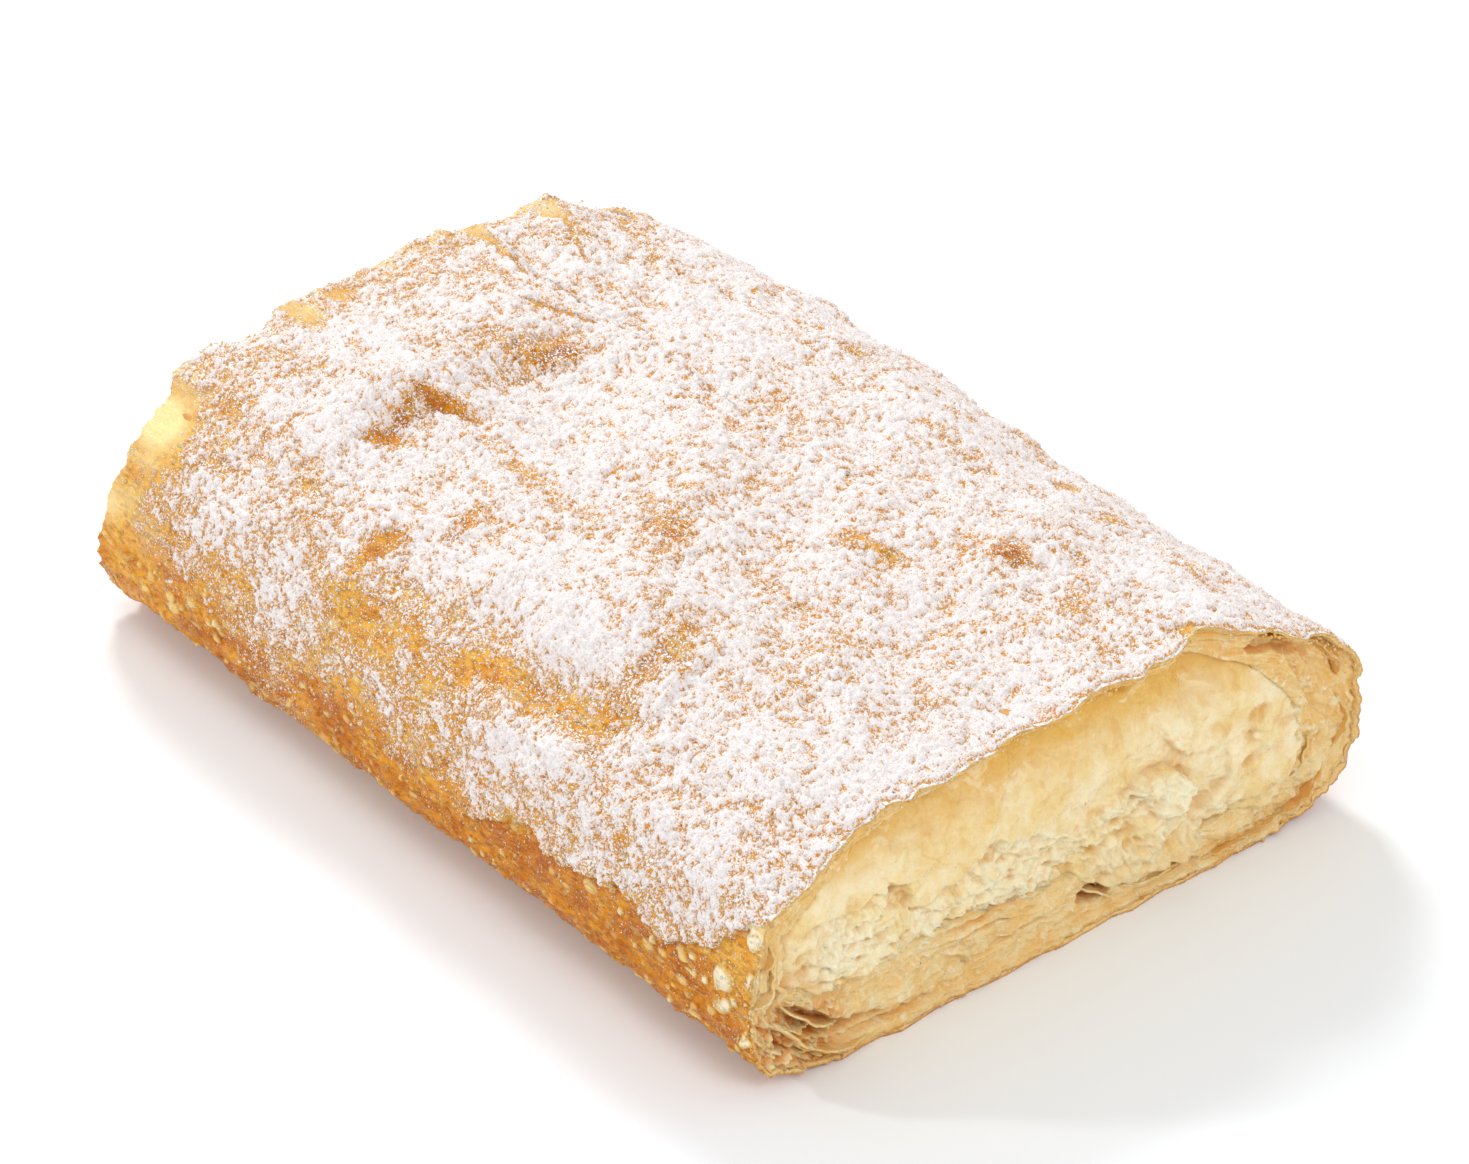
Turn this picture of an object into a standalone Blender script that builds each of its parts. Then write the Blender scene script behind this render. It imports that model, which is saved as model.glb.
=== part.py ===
"""A portion of cheese strudel, cut at both ends from a long flat roll.

The roll lies along X with its better cut at +X, its rounded long sides face -Y and +Y, and it
rests on its flat base at Z = 0. Two solids make it: the wrap of strudel dough, which is an open
tube of thin leaves, and the curd cheese that runs through it. Lengths are in metres.
"""

import math

import bmesh
import bpy
from mathutils import Vector, noise

MM = 0.001

# Driving dimensions of the roll
ROLL_WIDTH = 90 * MM
ROLL_HEIGHT = 32.4 * MM
CUT_PLANE = 60.5 * MM  # the two cuts are this far from the middle
WIDEST_AT = 9.5 * MM  # height at which the sides bulge most
BASE_CLIP = 1.6 * MM  # how far the oval would sink below the table, pressed flat instead
TOP_SQUARENESS = 3.3  # exponent of the upper half of the oval: 2 is round, 4 nearly square
BASE_SQUARENESS = 2.8

# Fineness of the solids
COLUMNS = 72  # points round the roll
WRAP_ROWS = 40  # steps along the roll
CHEESE_RINGS = 9  # rings over a cut face of the curd
BASE_WEIGHT = 0.55  # the base takes this share of the points that its length would
BASE_BELOW = 11 * MM  # an outline's points below this height, and on a level run, are its base

# The wrap shows four leaves of dough at a cut, from the browned skin inwards
LEAVES = 4
LEAF_RISER = 0.1  # share of a leaf taken up by the step to the next one
LEAF_SETBACK_TOP = (0.0, 1.3 * MM, 2.4 * MM, 2.9 * MM)
LEAF_SETBACK_BASE = (0.2 * MM, 1.2 * MM, 0.3 * MM, 1.1 * MM)

# Outline of the tunnel that holds the curd, seen at the +X cut as (y, z) in millimetres
TUNNEL_OUTLINE = (
    (-40.6, 15.5), (-38.6, 21.5), (-34.0, 26.4), (-25.5, 29.4), (-10.0, 30.7), (8.0, 30.8),
    (20.0, 29.6), (28.0, 26.2), (34.2, 20.0), (36.0, 13.0), (33.2, 7.2), (24.0, 5.2),
    (14.0, 5.0), (5.0, 6.6), (-5.0, 8.2), (-17.0, 9.0), (-29.0, 9.8), (-37.5, 11.6),
)
TUNNEL_FOLLOWS = 0.75  # share of the top sheet's relief that the tunnel takes up at a cut
TUNNEL_STEPS = (46 * MM, 38 * MM)  # it is as at the cut down to the first, and plain from the second
TUNNEL_SINK = 2.2 * MM  # how much lower its roof is where it is plain
CHEESE_GAP = 0.35 * MM  # clearance between the curd and the wrap
CHEESE_SPINE = (-26 * MM, 22 * MM, 18.5 * MM)  # the cut face closes on this line: y, y, z

# How far the top sheet reaches past the middle, across the roll, as (y, reach) in millimetres
FRONT_REACH = (
    (-45, 60.2), (-36, 61.2), (-30, 59.9), (-18, 60.9), (0, 60.7), (14, 60.5), (20, 58.8),
    (25, 61.2), (31, 62.8), (38, 62.0), (45, 60.4),
)
BACK_REACH = (
    (-45, 58.6), (-36, 58.9), (-33, 61.2), (-27, 60.8), (-24.5, 58.6), (-18, 61.3), (-4, 61.6),
    (8, 62.6), (11.5, 60.4), (22, 61.7), (25, 58.8), (32, 57.4), (45, 55.8),
)
RAGGED = 0.7 * MM
RAGGED_GRAIN = 2.6 * MM

# Humps of the top sheet: x, y, length behind, length of the steep side, half-breadth, height (all
# in millimetres), and the heading of the steep side in degrees, 0 being +X and 90 being +Y
HUMPS = (
    (-35, -16, 13, 3.6, 12, 3.0, -15),  # the long swell with the steep bare face
    (-37, 2, 12, 6.0, 9, 2.2, 0),
    (3, -9, 12, 5.5, 10, 2.2, -50),
    (11, -26, 10, 5.5, 15, 2.3, -90),  # the broad hump over the bare hollow
    (19, -24, 9, 4.0, 8, 1.6, -20),
    (23, -43, 3, 3.0, 15, 1.2, -90),  # its sugared rim
    (23, 6, 5, 2.6, 6, 1.2, -90),
    (32, 18, 8, 4.0, 7, 1.6, -45),
    (-13, -24, 4, 2.4, 4, 1.1, -75),
    (-17, -32, 4, 2.4, 4, 1.0, -75),
    (-57, 21.0, 6, 2.6, 12, 0.9, 90),  # the pleat that peaks at the back cut
    (-59, 6, 5, 3.0, 9, 0.7, 90),
    (48, 32, 6, 4.0, 9, 0.8, -60),
    (57, 27, 7, 6.0, 4, 0.6, 0),  # the lifted corner of the sheet
    (2, 26, 8, 4.0, 8, 0.9, -70),
    (-20, 14, 9, 9.0, 20, 0.8, 0),
)
HOLLOWS = (
    (-23, -5, 9, 8, 1.7),  # x, y, half-length, half-breadth, depth in millimetres
    (14, -37, 14, 3.4, 1.6),
    (-53, 42, 20, 11, 3.0),  # the back corner sags
    (34, 40, 46, 10, 2.2),  # and the far shoulder is rounder than the near one
    (62, -22, 9, 13, 0.8),
    (-55, -37, 6, 4, 0.9),
    (44, -6, 12, 9, 0.7),
)
SIDES_BELOW = 16 * MM  # the humps fade out between these heights, down the sides
TOP_ABOVE = 27 * MM
WRINKLES = ((0.55 * MM, 9 * MM), (0.28 * MM, 3.6 * MM))  # height and size of the fine wrinkles
WRINKLES_ABOVE = 6 * MM  # they grow from nothing at the table to their full height here

# Pockets between the leaves at the cuts: y, z, half-breadth, half-height, depth, in millimetres
WRAP_POCKETS = (
    (36.5, 23.8, 4.4, 2.6, 7.0),  # hollow under the lifted corner
    (6.0, 4.4, 4.6, 1.5, 4.5),
    (-35.0, 8.4, 6.0, 1.3, 4.0),
    (17.0, 3.6, 5.0, 0.9, 2.5),
)

# The curd at a cut: soft folds down its upper half (y, half-breadth, height in millimetres), and
# a torn, craggy band below them
CHEESE_FOLDS = (
    (-28.0, 3.0, 0.8), (-19.5, 2.6, 0.6), (-9.5, 2.0, 0.9), (0.5, 3.0, 0.6), (14.0, 3.2, 0.8),
)
CHEESE_SETBACK = 0.6 * MM
CHEESE_RECESS = 3.0 * MM  # it lies this much further back under the top sheet
RECESS_FADE = (19 * MM, 30 * MM)  # heights between which the recess and the folds set in
FOLD_FADE = (17 * MM, 24 * MM)
CRAG_BAND = (9.5 * MM, 20.5 * MM)
CRAG_FADE = 3 * MM
CRAG_HEIGHT = 1.5 * MM
CRAG_GRAIN = 6 * MM
CRAG_SINK = 0.6  # share of a crag that lies below the plain cut
LUMP_HEIGHT = 0.35 * MM
LUMP_GRAIN = 3 * MM

COLORS = {
    "strudel_wrap": (0.60, 0.30, 0.09, 1.0),
    "curd_cheese": (0.86, 0.72, 0.42, 1.0),
}
ROUGHNESS = {"strudel_wrap": 0.55, "curd_cheese": 0.42}
SHARP_ANGLE = math.radians(50)


def smoothstep(low, high, value):
    share = min(1.0, max(0.0, (value - low) / (high - low)))
    return share * share * (3 - 2 * share)


def reach_at(table, y):
    """Reads a table of (y, reach) in millimetres, eased between its entries, and gives metres."""
    y = min(table[-1][0], max(table[0][0], y / MM))
    for (left, low), (right, high) in zip(table, table[1:]):
        if y <= right:
            return (low + (high - low) * smoothstep(left, right, y)) * MM


def grain(x, y, z, size, seed):
    """Smooth noise from -1 to 1 whose lumps are about size across."""
    return noise.noise(Vector((x / size + seed, y / size - seed, z / size + 2 * seed)))


def oval_outline(steps=720):
    """The outer section as points at x = 0, from the middle of the base round by +Y."""
    points = []
    for step in range(steps):
        angle = -math.pi / 2 + 2 * math.pi * step / steps
        across, up = math.cos(angle), math.sin(angle)
        power = 2 / (TOP_SQUARENESS if up > 0 else BASE_SQUARENESS)
        reach = ROLL_HEIGHT - WIDEST_AT if up > 0 else WIDEST_AT + BASE_CLIP
        y = math.copysign(abs(across) ** power, across) * ROLL_WIDTH / 2
        z = WIDEST_AT + math.copysign(abs(up) ** power, up) * reach
        points.append(Vector((0.0, y, max(0.0, z))))
    return points


def tunnel_outline(steps=16):
    """A smooth closed curve through TUNNEL_OUTLINE, in the same order as the oval."""
    corners = [Vector((0.0, y * MM, z * MM)) for y, z in reversed(TUNNEL_OUTLINE)]
    points = []
    for index in range(len(corners)):
        a, b, c, d = (corners[(index + k) % len(corners)] for k in (-1, 0, 1, 2))
        for step in range(steps):
            t = step / steps
            points.append(0.5 * (
                2 * b + (c - a) * t + (2 * a - 5 * b + 4 * c - d) * t * t
                + (3 * b - a - 3 * c + d) * t ** 3
            ))
    first = min(range(len(points)), key=lambda i: abs(points[i].y) + abs(points[i].z))
    return points[first:] + points[:first]


def is_base(a, b):
    return max(a.z, b.z) < BASE_BELOW and abs(b.z - a.z) < abs(b.y - a.y) / 3


def resample(outline):
    """COLUMNS points spaced evenly along a closed outline, but further apart on its base."""
    closed = outline + outline[:1]
    along = [0.0]
    for a, b in zip(closed, closed[1:]):
        along.append(along[-1] + (b - a).length * (BASE_WEIGHT if is_base(a, b) else 1.0))
    points, index = [], 0
    for step in range(COLUMNS):
        target = along[-1] * step / COLUMNS
        while along[index + 1] < target:
            index += 1
        span = along[index + 1] - along[index]
        points.append(closed[index].lerp(closed[index + 1], (target - along[index]) / span))
    return points


def outward(outline, index):
    """The outward direction of an outline that runs from its base round by +Y."""
    along = (outline[(index + 1) % COLUMNS] - outline[index - 1]).normalized()
    return Vector((0.0, along.z, -along.y))


def hump(x, y, centre_x, centre_y, behind, steep, breadth, height, heading):
    dx, dy = x / MM - centre_x, y / MM - centre_y
    turn = math.radians(heading)
    ahead = dx * math.cos(turn) + dy * math.sin(turn)
    aside = dy * math.cos(turn) - dx * math.sin(turn)
    reach = steep if ahead > 0 else behind
    return height * MM * math.exp(-((ahead / reach) ** 2) - (aside / breadth) ** 2)


def hollow(x, y, centre_x, centre_y, length, breadth, depth):
    along, across = (x / MM - centre_x) / length, (y / MM - centre_y) / breadth
    return depth * MM * math.exp(-along * along - across * across)


def top_relief(x, y):
    """How far the humps and hollows lift the top sheet."""
    raised = sum(hump(x, y, *entry) for entry in HUMPS)
    return raised - sum(hollow(x, y, *entry) for entry in HOLLOWS)


def top_share(z):
    """0 on the sides and the base, 1 on top of the roll."""
    return smoothstep(SIDES_BELOW, TOP_ABOVE, z)


def skin_point(outline, index, x):
    """A point of the baked skin, which stands off the plain oval by its relief."""
    point = outline[index]
    stand = top_share(point.z) * top_relief(x, point.y)
    for number, (height, size) in enumerate(WRINKLES):
        wrinkle = height * grain(x, point.y, point.z, size, 3.1 + number)
        stand += wrinkle * smoothstep(0.0, WRINKLES_ABOVE, point.z)
    placed = point + outward(outline, index) * stand
    return Vector((x, placed.y, placed.z))


def tunnel_point(point, x, inset=0.0):
    """A point of the tunnel wall, or inset from it. Its roof follows the top sheet at the cuts."""
    end = math.copysign(CUT_PLANE, x)
    near_cut = smoothstep(TUNNEL_STEPS[1], TUNNEL_STEPS[0], abs(x))
    lift = near_cut * TUNNEL_FOLLOWS * top_relief(end, point.y) - (1 - near_cut) * TUNNEL_SINK
    centre = spine_point(point.y)
    inward = (centre - point).normalized() * inset
    return Vector((x, point.y + inward.y, point.z + inward.z + top_share(point.z) * lift))


def spine_point(y):
    left, right, z = CHEESE_SPINE
    return Vector((0.0, min(right, max(left, y)), z))


def pocket_depth(y, z):
    depth = 0.0
    for centre_y, centre_z, breadth, height, deepest in WRAP_POCKETS:
        across, up = (y / MM - centre_y) / breadth, (z / MM - centre_z) / height
        depth += deepest * MM * math.exp(-(across * across + up * up) ** 2)
    return depth


def sheet_reach(end, y):
    return reach_at(FRONT_REACH if end > 0 else BACK_REACH, y)


def leaf_plane(end, leaf, y, z):
    """The x at which a leaf of dough ends. end is 1 at the front cut and -1 at the back one."""
    high = top_share(z)
    setback = LEAF_SETBACK_BASE[leaf] + (LEAF_SETBACK_TOP[leaf] - LEAF_SETBACK_BASE[leaf]) * high
    reach = sheet_reach(end, y) - CUT_PLANE
    if leaf > 0:
        reach = min(0.0, reach)
        setback += pocket_depth(y, z)
    torn = RAGGED * grain(0.0, y, z, RAGGED_GRAIN, 11.0 * leaf + 5.0 * end)
    return end * (CUT_PLANE + reach * high - setback + torn)


def cheese_plane(end, y, z):
    """The x at which the curd ends."""
    reach = min(0.0, sheet_reach(end, y) - CUT_PLANE) * top_share(z)
    recess = CHEESE_RECESS * smoothstep(*RECESS_FADE, z)
    folds = sum(
        height * MM * math.exp(-((y / MM - centre) / breadth) ** 2)
        for centre, breadth, height in CHEESE_FOLDS
    )
    low, high = CRAG_BAND
    torn = smoothstep(low - CRAG_FADE, low, z) * (1 - smoothstep(high - CRAG_FADE, high, z))
    crag = 2 * abs(grain(0.0, y, z, CRAG_GRAIN, 21.0 + 9 * end)) - CRAG_SINK
    lump = grain(0.0, y, z, LUMP_GRAIN, 33.0 + 9 * end)
    relief = smoothstep(*FOLD_FADE, z) * folds + CRAG_HEIGHT * torn * crag
    return end * (CUT_PLANE + reach - CHEESE_SETBACK - recess + relief + LUMP_HEIGHT * lump)


def cut_of_wrap(end, oval, tunnel):
    """Rings over a cut face of the wrap, from the skin to the tunnel, a step for each leaf."""
    rings = []
    for leaf in range(LEAVES):
        inner = leaf + (1 if leaf == LEAVES - 1 else 1 - LEAF_RISER)
        for share in (leaf + (LEAF_RISER if leaf else 0), inner):
            ring = []
            for index, wall in enumerate(tunnel):
                skin = skin_point(oval, index, end * CUT_PLANE)
                point = skin.lerp(tunnel_point(wall, end * CUT_PLANE), share / LEAVES)
                ring.append(Vector((leaf_plane(end, leaf, point.y, point.z), point.y, point.z)))
            rings.append(ring)
    return rings


def cut_of_cheese(end, tunnel):
    """Rings over a cut face of the curd, from its rim to close round its spine."""
    rings = []
    for ring_number in range(CHEESE_RINGS):
        ring = []
        for point in tunnel:
            rim = tunnel_point(point, end * CUT_PLANE, CHEESE_GAP)
            placed = rim.lerp(spine_point(point.y), ring_number / CHEESE_RINGS)
            ring.append(Vector((cheese_plane(end, placed.y, placed.z), placed.y, placed.z)))
        rings.append(ring)
    return rings


def tunnel_rings(tunnel, inset=0.0):
    """The tunnel's own rings between the cuts, from the back to the front."""
    near, plain = TUNNEL_STEPS
    return [[tunnel_point(point, x, inset) for point in tunnel] for x in (-near, -plain, plain, near)]


def loft(name, rings, endless):
    """A solid through rings of points. It runs back into its first ring, or has both ends filled."""
    shape = bmesh.new()
    rows = [[shape.verts.new(point) for point in ring] for ring in rings]
    pairs = list(zip(rows, rows[1:]))
    if endless:
        pairs.append((rows[-1], rows[0]))
    for here, there in pairs:
        for column in range(COLUMNS):
            before = column - 1
            shape.faces.new((here[before], here[column], there[column], there[before]))
    if not endless:
        ends = [shape.faces.new(rows[0]), shape.faces.new(rows[-1])]
        bmesh.ops.triangulate(shape, faces=ends, ngon_method="BEAUTY")
    bmesh.ops.recalc_face_normals(shape, faces=shape.faces)
    mesh = bpy.data.meshes.new(name)
    shape.to_mesh(mesh)
    shape.free()
    mesh.shade_smooth()
    mesh.set_sharp_from_angle(angle=SHARP_ANGLE)
    mesh.materials.append(make_material(name))
    made = bpy.data.objects.new(name, mesh)
    bpy.context.scene.collection.objects.link(made)
    return made


def make_material(name):
    material = bpy.data.materials.new(name)
    material.use_nodes = True
    shader = material.node_tree.nodes["Principled BSDF"]
    shader.inputs["Base Color"].default_value = COLORS[name]
    shader.inputs["Roughness"].default_value = ROUGHNESS[name]
    return material


def make_wrap(oval, tunnel):
    """Rings forward along the skin, over the front cut, back through the tunnel, over the back."""
    front, back = cut_of_wrap(1, oval, tunnel), cut_of_wrap(-1, oval, tunnel)
    skin = []
    for row in range(WRAP_ROWS + 1):
        ring = []
        for index in range(COLUMNS):
            low, high = back[0][index].x, front[0][index].x
            ring.append(skin_point(oval, index, low + (high - low) * row / WRAP_ROWS))
        skin.append(ring)
    return loft(
        "strudel_wrap",
        skin + front[1:] + tunnel_rings(tunnel)[::-1] + back[:0:-1],
        endless=True,
    )


def make_cheese(tunnel):
    front, back = cut_of_cheese(1, tunnel), cut_of_cheese(-1, tunnel)
    return loft(
        "curd_cheese",
        back[::-1] + tunnel_rings(tunnel, CHEESE_GAP) + front,
        endless=False,
    )


def main():
    for old in list(bpy.data.objects):
        bpy.data.objects.remove(old)
    oval, tunnel = resample(oval_outline()), resample(tunnel_outline())
    make_wrap(oval, tunnel)
    make_cheese(tunnel)


main()
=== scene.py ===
import math

import bpy
import numpy as np
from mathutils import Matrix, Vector
from mathutils.bvhtree import BVHTree


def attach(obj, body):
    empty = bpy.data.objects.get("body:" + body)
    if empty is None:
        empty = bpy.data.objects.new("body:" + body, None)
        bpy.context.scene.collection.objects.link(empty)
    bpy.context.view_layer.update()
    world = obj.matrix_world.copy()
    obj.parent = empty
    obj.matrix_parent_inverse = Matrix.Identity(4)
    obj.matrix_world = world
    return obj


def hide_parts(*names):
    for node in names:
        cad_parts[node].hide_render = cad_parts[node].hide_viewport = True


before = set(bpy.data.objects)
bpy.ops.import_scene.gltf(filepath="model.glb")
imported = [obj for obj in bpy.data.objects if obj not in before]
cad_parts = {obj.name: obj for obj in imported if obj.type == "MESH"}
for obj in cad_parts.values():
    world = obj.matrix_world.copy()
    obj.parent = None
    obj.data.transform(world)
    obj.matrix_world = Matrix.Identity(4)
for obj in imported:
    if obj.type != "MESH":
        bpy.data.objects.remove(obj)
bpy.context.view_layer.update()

mm = 0.001

# the plain oval that the roll was pressed into; the frame's humps stand off it
rollShape = {
    "width": 90 * mm,
    "height": 32.4 * mm,
    "widestAt": 9.5 * mm,
    "baseClip": 1.6 * mm,
    "topSquareness": 3.3,
    "baseSquareness": 2.8,
    "cutPlane": 60.5 * mm,
    "sheet": 0.45 * mm,  # thickness of one baked sheet
    "sidesBelow": 16 * mm,
    "topAbove": 27 * mm,
}


# ---- small helpers

def smoothStep(low, high, value):
    share = np.clip((value - low) / (high - low), 0, 1)
    return share * share * (3 - 2 * share)


def mix(first, second, share):
    return first * (1 - share) + second * share


def follow(value, corners):  # reads off a line through (value, result) corners
    return np.interp(value, *np.array(corners).T)


def flatPoints(x, y, z):  # points that share one x
    return np.stack([np.full_like(y, x), y, z], axis=1)


def cellRandom(cells, salt):  # a fixed random number from 0 to 1 for each whole-numbered cell
    x, y, z = (cells[:, k].astype(np.int64).astype(np.uint32) for k in range(3))
    mixed = x * np.uint32(374761393) + y * np.uint32(668265263) + z * np.uint32(2246822519)
    mixed = mixed + np.uint32((salt * 2654435761) % 4294967296)
    mixed = (mixed ^ (mixed >> np.uint32(13))) * np.uint32(1274126177)
    mixed = (mixed ^ (mixed >> np.uint32(15))) * np.uint32(2246822519)
    return (mixed ^ (mixed >> np.uint32(16))).astype(float) / 4294967295


def lumps(points, size, salt=0):  # smooth noise from about -1 to 1 with lumps of this size
    scaled = points / size
    cell = np.floor(scaled)
    inside = scaled - cell
    ease = inside ** 3 * (inside * (inside * 6 - 15) + 10)
    total = np.zeros(len(points))
    for corner in np.ndindex(2, 2, 2):
        whole = cell + corner
        slope = np.stack([cellRandom(whole, 7 * salt + k) for k in range(3)], axis=1) * 2 - 1
        weight = np.prod(np.where(np.array(corner), ease, 1 - ease), axis=1)
        total += weight * ((inside - corner) * slope).sum(axis=1)
    return total * 1.7


def spots(points, spacing, salt=0):  # distance to the nearest of scattered spots, and its number
    scaled = points / spacing
    cell = np.floor(scaled)
    nearest = np.full(len(points), 9.0)
    number = np.zeros(len(points))
    for step in np.ndindex(3, 3, 3):
        whole = cell + np.array(step) - 1
        spot = whole + np.stack([cellRandom(whole, 11 * salt + k) for k in range(3)], axis=1)
        away = np.linalg.norm(scaled - spot, axis=1)
        closer = away < nearest
        nearest = np.where(closer, away, nearest)
        number = np.where(closer, cellRandom(whole, 11 * salt + 5), number)
    return nearest, number


def lumpSum(points, *layers):  # layers of lumps: height, size, salt
    return sum(height * lumps(points, size, salt) for height, size, salt in layers)


def domeOf(ratio, top=1.0):  # a rounded bump, 1 high at 0 and gone at 1
    return np.sqrt(np.clip(top - ratio ** 2, 0, 1))


def fadeEnds(along, margin, power=1.0):  # 1 halfway along, less towards both ends
    return np.sin(np.clip(along, margin, 1 - margin) * math.pi) ** power


def readTable(table, i, j):  # eased between the four cells round each place
    iLow, jLow = i.astype(int), j.astype(int)
    low = mix(table[iLow, jLow], table[iLow, jLow + 1], j - jLow)
    high = mix(table[iLow + 1, jLow], table[iLow + 1, jLow + 1], j - jLow)
    return mix(low, high, i - iLow)


def lineAway(u, v, line):  # distance to a polyline, its side (1 on the left) and how far along, from 0 to 1
    best, along, side = np.full(len(u), 1e9), np.zeros(len(u)), np.ones(len(u))
    corners = np.array(line, float)
    lengths = np.hypot(*np.diff(corners, axis=0).T)
    done = 0.0
    for (au, av), (bu, bv), length in zip(corners, corners[1:], lengths):
        du, dv = (bu - au) / length, (bv - av) / length
        pu, pv = u - au, v - av
        t = np.clip(pu * du + pv * dv, 0, length)
        away = np.hypot(pu - t * du, pv - t * dv)
        closer = away < best
        best = np.where(closer, away, best)
        side = np.where(closer, np.where(du * pv - dv * pu >= 0, 1, -1), side)
        along = np.where(closer, (done + t) / lengths.sum(), along)
        done += length
    return best, side, along


def ledge(u, v, line, falloff, sharp):  # 1 at the line, fading over its right side, dropping off on its left
    away, side, along = lineAway(u, v, line)
    return fadeEnds(along, 0.02, 0.5) * np.exp(-(away / np.where(side < 0, falloff, sharp)) ** 2)


def deselectAll():
    if bpy.context.object and bpy.context.object.mode != "OBJECT":
        bpy.ops.object.mode_set(mode="OBJECT")
    bpy.ops.object.select_all(action="DESELECT")


def pickUp(piece):
    deselectAll()
    piece.select_set(True)
    bpy.context.view_layer.objects.active = piece


def pointsOf(piece):
    flat = np.empty(len(piece.data.vertices) * 3, np.float32)
    piece.data.vertices.foreach_get("co", flat)
    return flat.reshape(-1, 3).astype(float)


def movePoints(piece, points):
    piece.data.vertices.foreach_set("co", points.astype(np.float32).ravel())
    piece.data.update()


def paint(piece, **looks):  # numbers at each point that the material reads
    for name, values in looks.items():
        layer = piece.data.attributes.new(name, "FLOAT", "POINT")
        layer.data.foreach_set("value", np.clip(values, 0, 1).astype(np.float32))


def addGrid(name, rows, columns):  # a flat grid; gives each point's row and column as whole numbers
    deselectAll()
    bpy.ops.mesh.primitive_grid_add(x_subdivisions=rows - 1, y_subdivisions=columns - 1, size=1)
    piece = bpy.context.object
    piece.name = piece.data.name = name
    flat = pointsOf(piece)
    row = np.rint((flat[:, 0] + 0.5) * (rows - 1)).astype(int)
    column = np.rint((flat[:, 1] + 0.5) * (columns - 1)).astype(int)
    return piece, row, column


def editAll(piece, *steps):  # runs edit-mode steps on the whole piece
    pickUp(piece)
    bpy.ops.object.mode_set(mode="EDIT")
    bpy.ops.mesh.select_mode(type="VERT")
    bpy.ops.mesh.select_all(action="SELECT")
    for step in steps:
        step()
    bpy.ops.object.mode_set(mode="OBJECT")


def mergeSeam():
    bpy.ops.mesh.remove_doubles(threshold=0.000002)


def faceOut():
    bpy.ops.mesh.normals_make_consistent(inside=False)


def bridgeOpenEnds():
    bpy.ops.mesh.select_all(action="DESELECT")
    bpy.ops.mesh.select_non_manifold(extend=False, use_wire=False, use_multi_face=False,
                                     use_non_contiguous=False, use_verts=False)
    bpy.ops.mesh.bridge_edge_loops()


def closeUp(piece):  # welds the seam, bridges the open ends and turns every face outward
    editAll(piece, mergeSeam, bridgeOpenEnds)
    editAll(piece, faceOut)


def dropPoints(piece, unwanted):
    editAll(piece, lambda: bpy.ops.mesh.select_all(action="DESELECT"))
    piece.data.vertices.foreach_set("select", unwanted)
    bpy.ops.object.mode_set(mode="EDIT")
    bpy.ops.mesh.delete(type="VERT")
    bpy.ops.object.mode_set(mode="OBJECT")


def thickenSheet(piece, thickness):
    pickUp(piece)
    thicken = piece.modifiers.new("sheet", "SOLIDIFY")
    thicken.thickness = thickness
    thicken.offset = 0
    bpy.ops.object.modifier_apply(modifier=thicken.name)


def joinSheets(sheets, name, thickness):  # gives each sheet its thickness and makes one piece of them all
    for sheet in sheets:
        thickenSheet(sheet, thickness)
    deselectAll()
    for sheet in sheets:
        sheet.select_set(True)
    bpy.context.view_layer.objects.active = sheets[0]
    bpy.ops.object.join()
    whole = bpy.context.object
    whole.name = whole.data.name = name
    editAll(whole, faceOut)
    finishPiece(whole, leafFinish, "baked_dough")


def finishPiece(piece, material, slot, *nodes):
    pickUp(piece)
    bpy.ops.object.shade_smooth()
    piece.data.materials.clear()
    piece.data.materials.append(material)
    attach(piece, "root")
    if nodes:
        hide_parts(*nodes)
    print(piece.name, "done:", len(piece.data.polygons), "faces")


# ---- the roll's skin, read from the frame

def ovalTable(steps=4000):
    angle = np.linspace(-math.pi / 2, 1.5 * math.pi, steps + 1)
    across, up = np.cos(angle), np.sin(angle)
    power = 2 / np.where(up > 0, rollShape["topSquareness"], rollShape["baseSquareness"])
    reach = np.where(
        up > 0,
        rollShape["height"] - rollShape["widestAt"],
        rollShape["widestAt"] + rollShape["baseClip"],
    )
    y = np.sign(across) * np.abs(across) ** power * rollShape["width"] / 2
    z = np.maximum(0, rollShape["widestAt"] + np.sign(up) * np.abs(up) ** power * reach)
    along = np.concatenate([[0], np.cumsum(np.hypot(np.diff(y), np.diff(z)))])
    tangentY, tangentZ = np.gradient(y, along + angle * 1e-9), np.gradient(z, along + angle * 1e-9)
    length = np.hypot(tangentY, tangentZ)
    return along, y, z, tangentZ / length, -tangentY / length


ovalAlong, ovalY, ovalZ, ovalOutY, ovalOutZ = ovalTable()
girth = ovalAlong[-1]


def onOval(along):  # y, z and the outward direction, at a distance round from the base's middle
    return [np.interp(along, ovalAlong, t) for t in (ovalY, ovalZ, ovalOutY, ovalOutZ)]


def treeOf(node):
    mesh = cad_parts[node].data
    return BVHTree.FromPolygons([v.co for v in mesh.vertices], [p.vertices for p in mesh.polygons])


skinGuide = {"lastX": 56.3 * mm, "stepX": 0.9 * mm, "stepsRound": 240, "clear": 8 * mm, "soften": 3}


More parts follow.
